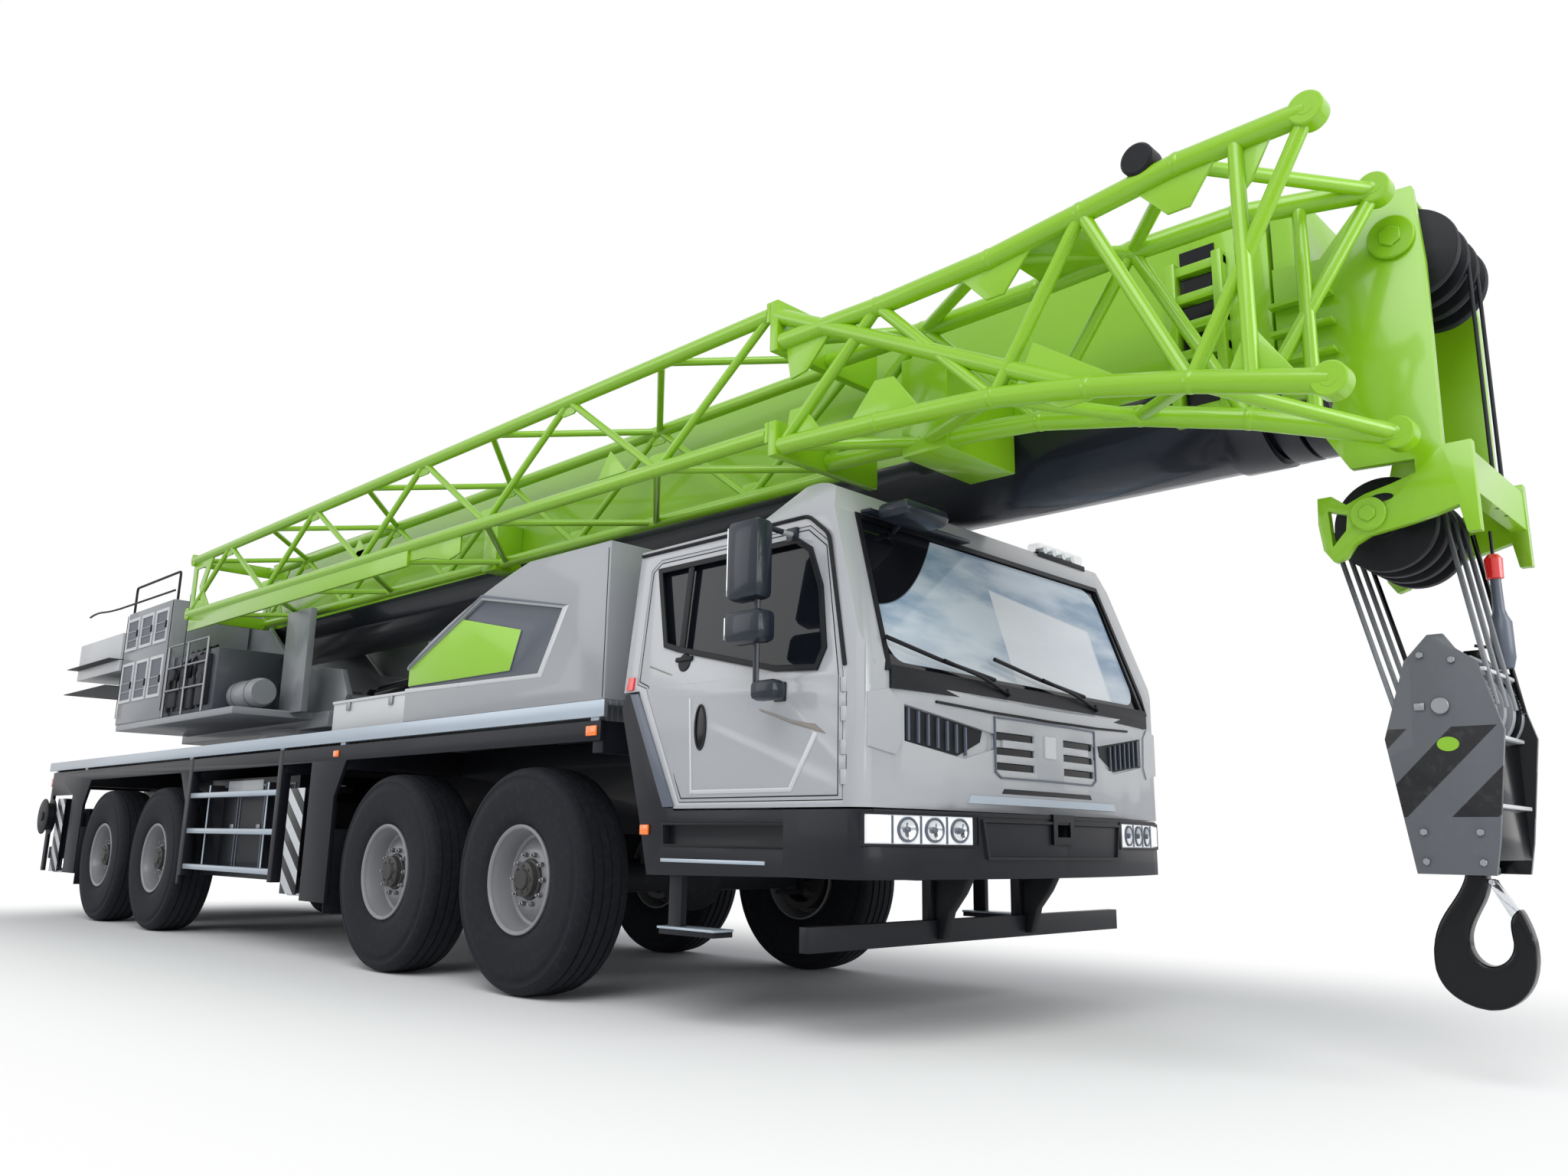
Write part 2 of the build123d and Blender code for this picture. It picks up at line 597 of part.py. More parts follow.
# bumper with towing point, fenders under the doors, steps, the underrun bar and the side skirts
with BuildPart() as bumper_beam:
    with BuildSketch(Plane.XY.offset(BUMPER_BOTTOM)):
        with BuildLine():
            Polyline((BUMPER_CORNER_X, HALF_WIDTH), (NOSE_FRONT, HALF_WIDTH), (NOSE_FRONT, -HALF_WIDTH),
                     (BUMPER_CORNER_X, -HALF_WIDTH), (BUMPER_CORNER_X + 60, -HALF_WIDTH + 50))
            ThreePointArc((BUMPER_CORNER_X + 60, -HALF_WIDTH + 50), (BUMPER_FRONT, 0),
                          (BUMPER_CORNER_X + 60, HALF_WIDTH - 50))
            Line((BUMPER_CORNER_X + 60, HALF_WIDTH - 50), (BUMPER_CORNER_X, HALF_WIDTH))
        make_face()
    extrude(amount=CAB_BOTTOM - 10 - BUMPER_BOTTOM)
    with Locations((BUMPER_FRONT, 0, 1060)):
        Box(120, 130, 110, mode=Mode.SUBTRACT)
FENDER = [(3600, 1780), (3720, 1780), (4060, CAB_BOTTOM - 10), (4960, CAB_BOTTOM - 10), (4960, BUMPER_BOTTOM),
          (3850, 770), (3760, 1100), (3570, 1700)]
fender = side_plate(FENDER, HALF_WIDTH - 90, HALF_WIDTH - 10)
STEP_SLOT = ((3990, 4900), (HALF_WIDTH - 60, HALF_WIDTH), (930, 1040))
lower_step = block((3950, 4380), (1330, 1470), (465, 495))
step_hanger = block((3990, 4090), (1400, 1440), (490, 790))
step_shelf = block((3900, 4960), (FRAME_HALF_WIDTH, HALF_WIDTH - 90), (BUMPER_BOTTOM, BUMPER_BOTTOM + 40))
UNDERRUN_X = (5000, 5060)
UNDERRUN_Z = (440, 560)
headlamp_pocket = block((5180, 5600), (760, 1460), (945, 1105))
with BuildPart() as bumper_and_skirts:
    add(bumper_beam.part)
    add(mirrored(skirt))
    add(mirrored(headlamp_pocket), mode=Mode.SUBTRACT)
    for piece in (fender, lower_step, step_hanger, step_shelf):
        add(mirrored(piece))
    add(mirrored(block(*STEP_SLOT)), mode=Mode.SUBTRACT)
    add(block(UNDERRUN_X, (-1480, 1480), UNDERRUN_Z))
    for side in (-1, 1):
        add(block((4980, 5040), (side * 430 - 60, side * 430 + 60), (UNDERRUN_Z[0], BUMPER_BOTTOM + 50)))
save(bumper_and_skirts.part, "bumper_and_skirts")


# lamps: headlamp units in the bumper, orange markers, tail lamps
LAMP_DEPTH = 14
marker_lamps = [
    block((3230, 3330), (SKIRT_OUTER, SKIRT_OUTER + LAMP_DEPTH), (1560, 1620)),
    block((-90, -10), (SKIRT_OUTER, SKIRT_OUTER + LAMP_DEPTH), (1560, 1610)),
    block((3790, 3860), (HALF_WIDTH - 10, HALF_WIDTH - 10 + LAMP_DEPTH), (985, 1040)),
]
tail_lamp = block((TAIL_REAR - 60, TAIL_REAR), (1180, SKIRT_OUTER), (1480, 1580))
headlamp = headlamp_pocket & bumper_beam.part
with BuildPart() as lamps:
    for piece in marker_lamps:
        add(mirrored(piece))
    add(mirrored(tail_lamp))
    add(mirrored(headlamp))
save(lamps.part, "lamps")


# axle beams on their suspension blocks, with bosses or spindles at the ends
SPRING_Y = 330
axle_pieces = []
for name, axle_x, steered in AXLES:
    end = KINGPIN_Y if steered else WHEEL_CENTRE_Y - RIM_WIDTH / 2 - RUNNING_GAP
    axle_pieces.append(bar((axle_x, -end, TYRE_RADIUS), (axle_x, end, TYRE_RADIUS), AXLE_RADIUS))
    axle_pieces.append(Pos(axle_x, 0, TYRE_RADIUS) * Sphere(230, mode=Mode.PRIVATE))
    for side in (-1, 1):
        axle_pieces.append(block((axle_x - 90, axle_x + 90), y_span(side, SPRING_Y - 70, SPRING_Y + 70),
                                 (TYRE_RADIUS, FRAME_BOTTOM)))
        if steered:
            low = TYRE_RADIUS - KINGPIN_BOSS_HALF
            high = TYRE_RADIUS + KINGPIN_BOSS_HALF
            boss_y = side * end
            axle_pieces.append(bar((axle_x, boss_y, low), (axle_x, boss_y, high), KINGPIN_BOSS_RADIUS))
        else:
            axle_pieces.append(bar((axle_x, side * end, TYRE_RADIUS),
                                   (axle_x, side * (end + SPINDLE_LENGTH), TYRE_RADIUS), SPINDLE_RADIUS))
with BuildPart() as axle_beams:
    add(axle_pieces)
    for name, axle_x, steered in AXLES:
        if steered:
            for side in (-1, 1):
                with Locations((axle_x, side * KINGPIN_Y, TYRE_RADIUS)):
                    Cylinder(KINGPIN_RADIUS + PIN_GAP, 3 * KINGPIN_BOSS_HALF, mode=Mode.SUBTRACT)
save(axle_beams.part, "axle_beams")


# steering knuckles: a yoke around the boss, its pin and the wheel spindle
YOKE_INNER_Z = KINGPIN_BOSS_HALF + RUNNING_GAP
YOKE_OUTER_Z = YOKE_INNER_Z + YOKE_PLATE
YOKE_BACK = KINGPIN_Y + KINGPIN_BOSS_RADIUS + RUNNING_GAP
FLANGE_Y = WHEEL_CENTRE_Y - RIM_WIDTH / 2 - RUNNING_GAP
for name, axle_x, steered in AXLES:
    if not steered:
        continue
    for side_name, side in SIDES:
        with BuildPart() as knuckle:
            for level in (-1, 1):
                add(block((axle_x - YOKE_HALF_LENGTH, axle_x + YOKE_HALF_LENGTH),
                          y_span(side, KINGPIN_Y - KINGPIN_BOSS_RADIUS, FLANGE_Y),
                          sorted((TYRE_RADIUS + level * YOKE_INNER_Z, TYRE_RADIUS + level * YOKE_OUTER_Z))))
            add(block((axle_x - YOKE_HALF_LENGTH, axle_x + YOKE_HALF_LENGTH),
                      y_span(side, YOKE_BACK, FLANGE_Y),
                      (TYRE_RADIUS - YOKE_OUTER_Z, TYRE_RADIUS + YOKE_OUTER_Z)))
            add(bar((axle_x, side * KINGPIN_Y, TYRE_RADIUS - YOKE_OUTER_Z),
                    (axle_x, side * KINGPIN_Y, TYRE_RADIUS + YOKE_OUTER_Z), KINGPIN_RADIUS))
            add(bar((axle_x, side * YOKE_BACK, TYRE_RADIUS),
                    (axle_x, side * (FLANGE_Y + SPINDLE_LENGTH), TYRE_RADIUS), SPINDLE_RADIUS))
        save(knuckle.part, f"knuckle_{name}_{side_name}")


# wheels: a tyre and a dished rim each, turned about the axle
def wheel_plane(axle_x, side):
    """A plane at the wheel's middle whose local Z points outwards along the axle."""
    return Plane(origin=(axle_x, side * WHEEL_CENTRE_Y, TYRE_RADIUS), x_dir=(1, 0, 0), z_dir=(0, side, 0))


# half section of the tyre: radius, distance from its middle plane
TYRE_SECTION = [
    (RIM_RADIUS, 150), (370, 172), (520, TYRE_WIDTH / 2), (620, TYRE_WIDTH / 2 - 6), (682, 168),
    (TYRE_RADIUS, 130),
]
DISC_OUT = 40
DISC_RISE = 50
DISC_FLAT_RADIUS = 230
HUB_NOSE = 60
for name, axle_x, steered in AXLES:
    for side_name, side in SIDES:
        with BuildPart() as tyre:
            with BuildSketch(Plane.XZ):
                with BuildLine():
                    upper = [(radius, half) for radius, half in TYRE_SECTION]
                    lower = [(radius, -half) for radius, half in reversed(TYRE_SECTION)]
                    Polyline(*upper, *lower, close=True)
                make_face()
            revolve(axis=Axis.Z)
        save(wheel_plane(axle_x, side) * tyre.part, f"tyre_{name}_{side_name}")
        with BuildPart() as rim:
            with BuildSketch(Plane.XZ):
                with BuildLine():
                    edge = RIM_WIDTH / 2
                    well = RIM_RADIUS - RIM_WALL
                    dish = DISC_OUT + DISC_RISE
                    Polyline((well, -edge), (RIM_RADIUS, -edge), (RIM_RADIUS, edge), (well, edge),
                             (well, DISC_OUT), (DISC_FLAT_RADIUS, dish), (HUB_RADIUS, dish),
                             (HUB_RADIUS, dish + HUB_NOSE), (0, dish + HUB_NOSE), (0, -edge),
                             (HUB_RADIUS, -edge), (HUB_RADIUS, dish - DISC_THICKNESS),
                             (DISC_FLAT_RADIUS, dish - DISC_THICKNESS), (well, DISC_OUT - DISC_THICKNESS),
                             close=True)
                make_face()
            revolve(axis=Axis.Z)
            with Locations((0, 0, -RIM_WIDTH / 2)):
                Cylinder(SPINDLE_RADIUS + PIN_GAP, 2 * (SPINDLE_LENGTH + PIN_GAP), mode=Mode.SUBTRACT)
        save(wheel_plane(axle_x, side) * rim.part, f"rim_{name}_{side_name}")


# outrigger beams with jack sleeves, and jacks with their pads
for name, jack_x in OUTRIGGERS:
    for side_name, side in SIDES:
        beam_x = jack_x + side * BEAM_PITCH / 2
        beam_z = (BEAM_CENTRE_Z - BEAM_HEIGHT / 2, BEAM_CENTRE_Z + BEAM_HEIGHT / 2)
        beam_y = sorted((-side * BEAM_REACH, side * (JACK_Y - JACK_SLEEVE_HALF + 20)))
        cover_y = y_span(side, SKIRT_OUTER - COVER_THICKNESS, SKIRT_OUTER)
        with BuildPart() as outrigger_beam:
            add(block((beam_x - BEAM_WIDTH / 2, beam_x + BEAM_WIDTH / 2), beam_y, beam_z))
            add(block((jack_x - JACK_SLEEVE_HALF, jack_x + JACK_SLEEVE_HALF),
                      y_span(side, JACK_Y - JACK_SLEEVE_HALF, SKIRT_OUTER - COVER_THICKNESS),
                      (JACK_SLEEVE_BOTTOM, JACK_SLEEVE_TOP)))
            add(block((jack_x - COVER_HALF_WIDTH, jack_x + COVER_HALF_WIDTH), cover_y,
                      (COVER_BOTTOM, JACK_SLEEVE_TOP)))
            with Locations((jack_x, side * JACK_Y, (JACK_SLEEVE_BOTTOM + JACK_SLEEVE_TOP) / 2 - 20)):
                Cylinder(JACK_ROD_RADIUS + PIN_GAP, JACK_SLEEVE_TOP - JACK_SLEEVE_BOTTOM, mode=Mode.SUBTRACT)
        save(outrigger_beam.part, f"outrigger_beam_{name}_{side_name}")
        with BuildPart() as outrigger_jack:
            with Locations((jack_x, side * JACK_PAD_Y, JACK_PAD_BOTTOM)):
                Cylinder(JACK_PAD_RADIUS, JACK_PAD_THICKNESS, align=(Align.CENTER, Align.CENTER, Align.MIN))
            with Locations((jack_x, side * JACK_Y, JACK_PAD_BOTTOM)):
                Cylinder(JACK_ROD_RADIUS, JACK_SLEEVE_TOP - 60 - JACK_PAD_BOTTOM,
                         align=(Align.CENTER, Align.CENTER, Align.MIN))
        save(outrigger_jack.part, f"outrigger_jack_{name}_{side_name}")


# turntable: ring plate, floor, two cheeks that carry the boom, tower bracket
TURNTABLE_REAR = -6000
CHEEK = [(-6100, TURNTABLE_TOP - 20), (-6100, 2760), (-5250, 3060), (-4950, 3400), (-4350, 3400),
         (-3300, 2700), (-2150, 2560), (-1980, 2300), (-2100, TURNTABLE_TOP - 20)]
cheek = side_plate(CHEEK, CHEEK_INNER, CHEEK_OUTER)
tower = block((-2780, -2260), (780, 850), (TURNTABLE_TOP - 20, 3150))
with BuildPart() as turntable:
    with BuildSketch(Plane.XY.offset(TURNTABLE_BOTTOM)):
        with Locations((SLEW_X, 0)):
            Circle(SLEW_RING_RADIUS + 60)
    extrude(amount=120)
    add(block((TURNTABLE_REAR, -2150), (-620, 620), (TURNTABLE_BOTTOM + 100, TURNTABLE_TOP)))
    add(block((-5850, -2500), (-1400, 1400), (TURNTABLE_TOP - 70, TURNTABLE_TOP)))
    add(mirrored(cheek))
    add(mirror(tower, about=Plane.XZ))
    add(bar((PIVOT_X, -CHEEK_OUTER, PIVOT_Z), (PIVOT_X, CHEEK_OUTER, PIVOT_Z), PIVOT_PIN_RADIUS))
    add(bar((FOOT_X, -CHEEK_OUTER, FOOT_Z), (FOOT_X, CHEEK_OUTER, FOOT_Z), LUFF_PIN_RADIUS))
save(turntable.part, "turntable")


# winch drums between the cheeks, with their flanges
# drum: place along X, height
DRUMS = [(-5300, 2560), (-5840, 2440)]
DRUM_RADIUS = 200
DRUM_FLANGE_RADIUS = 255
DRUM_HALF_WIDTH = 380
with BuildPart() as winches:
    for drum_x, drum_z in DRUMS:
        add(bar((drum_x, -DRUM_HALF_WIDTH, drum_z), (drum_x, DRUM_HALF_WIDTH, drum_z), DRUM_RADIUS))
        for side in (-1, 1):
            near = side * DRUM_HALF_WIDTH
            add(bar((drum_x, near, drum_z), (drum_x, near + side * 25, drum_z), DRUM_FLANGE_RADIUS))
            add(bar((drum_x, near, drum_z), (drum_x, side * CHEEK_INNER, drum_z), 90))
save(winches.part, "winches")


# machinery house: tall cabinet and lower bay ahead of it, on the right
HOUSE_INNER = 560
HOUSE_OUTER = 1400
with BuildPart() as machinery_house:
    add(block((-5900, -4470), (-HOUSE_OUTER, -HOUSE_INNER), (TURNTABLE_TOP, 3440)))
    add(block((-4480, -3250), (-HOUSE_OUTER + 80, -HOUSE_INNER), (TURNTABLE_TOP, 2800)))
save(machinery_house.part, "machinery_house")


# operator's cab on the left: shell, glass and a sliding door
OP_X = (-4150, -2450)
OP_Y = (600, 1420)
OP_Z = (TURNTABLE_TOP, 3560)
OP_WALL = 45
OP_NOSE = 260


def operator_volume(inset):
    """The operator's cab as a closed volume with a sloped front."""
    outline = [(OP_X[0] + inset, OP_Z[0] + inset), (OP_X[1] - inset, OP_Z[0] + inset),
               (OP_X[1] - inset, 2700), (OP_X[1] - OP_NOSE - inset, OP_Z[1] - inset),
               (OP_X[0] + inset, OP_Z[1] - inset)]
    return side_plate(outline, OP_Y[0] + inset, OP_Y[1] - inset)


OP_DOOR_X = (-3900, -3120)
OP_DOOR_Z = (2230, 3440)
OP_DOOR_THICKNESS = 32
OP_RAIL_HEIGHT = 28
operator_walls = operator_volume(0) - operator_volume(OP_WALL)
# window openings: limits along X, Y and Z
OP_WINDOWS = [
    ((-2900, -2300), (OP_Y[0] + 80, OP_Y[1] - 80), (2330, 3420)),
    ((-3060, -2760), (OP_Y[1] - 60, OP_Y[1] + 10), (2500, 3400)),
    ((-3700, -2900), (OP_Y[0] + 120, OP_Y[1] - 120), (OP_Z[1] - 60, OP_Z[1] + 10)),
]
operator_door_hole = block((OP_DOOR_X[0] + 40, OP_DOOR_X[1] - 40), (OP_Y[1] - 60, OP_Y[1] + 10),
                           (OP_DOOR_Z[0] + 40, OP_DOOR_Z[1] - 40))
with BuildPart() as operator_cab:
    add(operator_walls)
    add([block(*window) for window in OP_WINDOWS] + [operator_door_hole], mode=Mode.SUBTRACT)
    add(block((-3950, -3450), (OP_Y[0] + 160, OP_Y[1] - 160), (OP_Z[0] + OP_WALL, 2520)))
    add(block((-4050, -3930), (OP_Y[0] + 180, OP_Y[1] - 180), (OP_Z[0] + OP_WALL, 3180)))
    # rails that the sliding door runs on
    for rail_z in (OP_DOOR_Z[0] - OP_RAIL_HEIGHT - SEAT_GAP, OP_DOOR_Z[1] + RUNNING_GAP):
        add(block((OP_X[0] - 420, OP_DOOR_X[1]), (OP_Y[1], OP_Y[1] + 46), (rail_z, rail_z + OP_RAIL_HEIGHT)))
save(operator_cab.part, "operator_cab")

pane_outer = operator_volume((OP_WALL - GLASS_THICKNESS) / 2)
pane_inner = operator_volume((OP_WALL + GLASS_THICKNESS) / 2)
operator_skin = pane_outer - pane_inner
pane_blanks = []
for window in OP_WINDOWS:
    pane_blanks.append(block(*[(low + SEAT_GAP, high - SEAT_GAP) for low, high in window]))
with BuildPart() as operator_glass:
    for blank in pane_blanks:
        add(operator_skin & blank)
save(operator_glass.part, "operator_glass")

OP_DOOR_FRAME = 90
OP_DOOR_SILL = 2700
OP_DOOR_PANE = (12, 20)
with BuildPart() as operator_door:
    low = OP_Y[1] + RUNNING_GAP
    pane_x = (OP_DOOR_X[0] + OP_DOOR_FRAME, OP_DOOR_X[1] - OP_DOOR_FRAME)
    pane_z = (OP_DOOR_SILL, OP_DOOR_Z[1] - OP_DOOR_FRAME)
    add(block(OP_DOOR_X, (low, low + OP_DOOR_THICKNESS), OP_DOOR_Z))
    add(block(pane_x, (low - 1, low + OP_DOOR_THICKNESS + 1), pane_z), mode=Mode.SUBTRACT)
    add(block(pane_x, (low + OP_DOOR_PANE[0], low + OP_DOOR_PANE[1]), pane_z))
save(operator_door.part, "operator_door")


# counterweight slab behind the cheeks, on two arms
COUNTERWEIGHT_X = (-7700, -6110)
COUNTERWEIGHT_Z = (2800, 3250)
with BuildPart() as counterweight:
    add(block(COUNTERWEIGHT_X, (-1380, 1380), COUNTERWEIGHT_Z))
    for side in (-1, 1):
        add(block((-6600, -6100 - SEAT_GAP), y_span(side, CHEEK_INNER, CHEEK_OUTER), (2300, 2810)))
save(counterweight.part, "counterweight")


# boom sections: a flat topped, round bottomed tube
ROUND_Z = BOOM_BOTTOM + BOOM_HALF_WIDTH


def boom_tube(inset, x_low, x_high):
    """A closed length of boom section, drawn in by the inset."""
    half = BOOM_HALF_WIDTH - inset
    top = BOOM_TOP - inset
    with BuildPart(mode=Mode.PRIVATE) as tube:
        with BuildSketch(Plane.YZ.offset(x_low)):
            with BuildLine():
                Polyline((half, ROUND_Z), (half, top), (-half, top), (-half, ROUND_Z))
                ThreePointArc((-half, ROUND_Z), (0, ROUND_Z - half), (half, ROUND_Z))
            make_face()
        extrude(amount=x_high - x_low)
    return tube.part


def wear_pads(inset, x_rear):
    """Slide pads on the sides and top of a section's rear end, just clear of the next bore."""
    half = BOOM_HALF_WIDTH - inset
    rise = SECTION_GAP - SEAT_GAP
    reach = (x_rear, x_rear + WEAR_PAD_LENGTH)
    side_pad = block(reach, (half, half + rise), (ROUND_Z + 80, ROUND_Z + 420))
    top_pad = block(reach, (-half + 120, half - 120), (BOOM_TOP - inset, BOOM_TOP - inset + rise))
    return mirrored(side_pad) + [top_pad]


INSET_2 = BOOM_WALL + SECTION_GAP
INSET_3 = 2 * INSET_2
SECTION_2_X = (-4200, 7050)
SECTION_3_X = (-4080, 7230)

base_bore = boom_tube(BOOM_WALL, BOOM_REAR + 60, BOOM_FRONT + 10)
base_skin = [
    boom_tube(0, BOOM_REAR, BOOM_FRONT),
    boom_tube(-COLLAR_RISE, BOOM_FRONT - 2 * COLLAR_LENGTH, BOOM_FRONT),
]
BOOM_EAR = [(BOOM_REAR + 20, 2990), (BOOM_REAR + 20, 3900), (-4560, 3380), (-4800, 3300), (-4800, 3080),
            (-4640, 3020)]
EYE_LUG = [(EYE_X - 260, 3000), (EYE_X - 130, EYE_Z - 90), (EYE_X + 110, EYE_Z - 110), (EYE_X + 420, 3000)]
BOSS_END = CHEEK_INNER - RUNNING_GAP
base_fittings = mirrored(side_plate(BOOM_EAR, 340, BOOM_HALF_WIDTH))
base_fittings += mirrored(bar((PIVOT_X, 300, PIVOT_Z), (PIVOT_X, BOSS_END, PIVOT_Z), 150))
base_fittings += mirrored(side_plate(EYE_LUG, EYE_HALF_WIDTH + RUNNING_GAP, EYE_HALF_WIDTH + 50))
with BuildPart() as boom_base:
    add(base_skin)
    add(base_fittings)
    add(base_bore, mode=Mode.SUBTRACT)
    add(bar((PIVOT_X, -CHEEK_OUTER, PIVOT_Z), (PIVOT_X, CHEEK_OUTER, PIVOT_Z), PIVOT_PIN_RADIUS + PIN_GAP),
        mode=Mode.SUBTRACT)
    add(bar((EYE_X, -EYE_HALF_WIDTH - 50, EYE_Z), (EYE_X, EYE_HALF_WIDTH + 50, EYE_Z), LUFF_PIN_RADIUS))
save(boom_base.part, "boom_base")

section_2_skin = [
    boom_tube(INSET_2, *SECTION_2_X),
    boom_tube(-COLLAR_RISE / 2, SECTION_2_X[1] - COLLAR_LENGTH, SECTION_2_X[1]),
]
section_2_pads = wear_pads(INSET_2, SECTION_2_X[0])
section_2_bore = boom_tube(INSET_2 + BOOM_WALL, SECTION_2_X[0] - 10, SECTION_2_X[1] + 10)
with BuildPart() as boom_section_2:
    add(section_2_skin)
    add(section_2_pads)
    add(section_2_bore, mode=Mode.SUBTRACT)
save(boom_section_2.part, "boom_section_2")

# head plate from its root on the section: over the upper sheave, down the front, round the lower sheave
HEAD_OUTLINE = [
    (7070, 3660), (7290, 3640), (7400, 3760), (7490, 3860), (7700, 3850), (7720, 3490), (7712, 2640),
    (7820, 2640), (7820, 2250), (7770, 2250), (7750, 2370), (7660, 2345), (7560, 2325), (7460, 2310),
    (7390, 2300), (7330, 2270), (7290, 2215), (7240, 2200), (7200, 2260), (7185, 2380), (7190, 2500),
    (7250, 2500), (7310, 2450), (7390, 2485), (7500, 2510), (7600, 2540), (7600, 2600), (7340, 2610),
    (7250, 2770), (7310, 3000), (7070, 2990),
]
SHEAVE_WINDOW = [(7230, 2435), (7310, 2405), (7300, 2335), (7240, 2270)]
HEAD_TIE = ((7750, 7815), (2420, 2600))
head_plate = side_plate(HEAD_OUTLINE, HEAD_PLATE_INNER, HEAD_PLATE_OUTER)
head_plate -= side_plate(SHEAVE_WINDOW, HEAD_PLATE_INNER - 1, HEAD_PLATE_OUTER + 1)
section_3_skin = [
    boom_tube(INSET_3, *SECTION_3_X),
    boom_tube(-COLLAR_RISE / 2, 7070, SECTION_3_X[1]),
]
section_3_pads = wear_pads(INSET_3, SECTION_3_X[0])
section_3_bore = boom_tube(INSET_3 + BOOM_WALL, SECTION_3_X[0] - 10, SECTION_3_X[1] - 60)
with BuildPart() as boom_section_3:
    add(section_3_skin)
    add(section_3_pads)
    add(section_3_bore, mode=Mode.SUBTRACT)
    add(mirrored(head_plate))
    add(block(HEAD_TIE[0], (-HEAD_PLATE_OUTER, HEAD_PLATE_OUTER), HEAD_TIE[1]))
save(boom_section_3.part, "boom_section_3")

# sheaves of the boom head on their axles
with BuildPart() as head_sheaves:
    for sheave_x, sheave_z in (TOP_SHEAVE, LOW_SHEAVE):
        add(bar((sheave_x, -HEAD_PLATE_INNER, sheave_z), (sheave_x, HEAD_PLATE_INNER, sheave_z), 55))
        for middle in SHEAVE_Y:
            edges = (middle - SHEAVE_WIDTH / 2, middle + SHEAVE_WIDTH / 2)
            add(bar((sheave_x, edges[0], sheave_z), (sheave_x, edges[1], sheave_z), SHEAVE_RADIUS))
save(head_sheaves.part, "head_sheaves")


# luffing cylinder: barrel hinged at its foot, rod reaching to the eye under the boom
foot = Vector(FOOT_X, 0, FOOT_Z)
eye = Vector(EYE_X, 0, EYE_Z)
luff_axis = (eye - foot).normalized()
BARREL_END = 3150
barrel_start = foot + luff_axis * 160
barrel_end = foot + luff_axis * BARREL_END
rod_start = foot + luff_axis * 300
rod_end = eye - luff_axis * 90
with BuildPart() as luff_barrel:
    add(bar(tuple(barrel_start), tuple(barrel_end), BARREL_RADIUS))
    add(bar((FOOT_X, -EYE_HALF_WIDTH, FOOT_Z), (FOOT_X, EYE_HALF_WIDTH, FOOT_Z), EYE_RADIUS))
    add(bar(tuple(foot), tuple(barrel_start + luff_axis * 20), 100))
    add(bar((FOOT_X, -300, FOOT_Z), (FOOT_X, 300, FOOT_Z), LUFF_PIN_RADIUS + PIN_GAP), mode=Mode.SUBTRACT)
    add(bar(tuple(foot + luff_axis * 280), tuple(barrel_end + luff_axis * 10), ROD_RADIUS + PIN_GAP),
        mode=Mode.SUBTRACT)
save(luff_barrel.part, "luff_barrel")
with BuildPart() as luff_rod:
    add(bar(tuple(rod_start), tuple(rod_end), ROD_RADIUS))
    add(bar((EYE_X, -EYE_HALF_WIDTH, EYE_Z), (EYE_X, EYE_HALF_WIDTH, EYE_Z), EYE_RADIUS))
    add(bar((EYE_X, -300, EYE_Z), (EYE_X, 300, EYE_Z), LUFF_PIN_RADIUS + PIN_GAP), mode=Mode.SUBTRACT)
save(luff_rod.part, "luff_rod")


# stowed jib: slender tip section, and the base section that widens to its forks
def between(first, last, share):
    """A jib station part of the way from one station to another."""
    return tuple(a + share * (b - a) for a, b in zip(first, last))


def corner(station, outer, upper):
    """A station's point on one of the four chords."""
    x, outer_y, inner_y, low, high = station
    return (x, outer_y if outer else inner_y, high if upper else low)


def lattice(stations, chord_radius, brace_radius):
    """Chords and diagonals of a four chord lattice through the stations."""
    bars = []
    for index, (near, far) in enumerate(zip(stations, stations[1:])):
        low_first = index % 2 == 0
        for outer in (True, False):
            for upper in (True, False):
                bars.append(bar(corner(near, outer, upper), corner(far, outer, upper), chord_radius))
            bars.append(bar(corner(near, outer, not low_first), corner(far, outer, low_first), brace_radius))
        for upper in (True, False):
            bars.append(bar(corner(near, low_first, upper), corner(far, not low_first, upper), brace_radius))
    return bars


def end_plates(station, x_low, x_high, rise):
    """Flat bars across the lower and the upper chords at one end."""
    reach = (station[1] - 40, station[2] + 40)
    return [block((x_low, x_high), reach, (height - rise, height + rise)) for height in station[3:]]


tip_front = JIB_JOINT[0] - SEAT_GAP
tip_end = between(JIB_REAR, JIB_JOINT, 1 - JIB_END_PLATE / (JIB_JOINT[0] - JIB_REAR[0]))
tip_stations = [between(JIB_REAR, tip_end, step / TIP_BAYS) for step in range(TIP_BAYS + 1)]
tip_bars = lattice(tip_stations, CHORD_RADIUS, BRACE_RADIUS)
KEEL_X = (-3900, 700)
KEEL_Y = (JIB_REAR[1] - 20, JIB_REAR[1] + 10)
CARRIER_REACH = (JIB_REAR[2] - 60, -BOOM_HALF_WIDTH - SEAT_GAP)
CARRIER_TOP = ROUND_Z + 240
with BuildPart() as jib_tip:
    add(tip_bars)
    add(end_plates(JIB_REAR, JIB_REAR[0], JIB_REAR[0] + JIB_END_PLATE, 60))
    add(end_plates(JIB_JOINT, tip_front - JIB_END_PLATE, tip_front, 60))
    add(block(KEEL_X, KEEL_Y, (JIB_REAR[3] - 190, JIB_REAR[3])))
    add(block((560, 760), CARRIER_REACH, (JIB_REAR[3] - 90, CARRIER_TOP)))
save(jib_tip.part, "jib_tip")

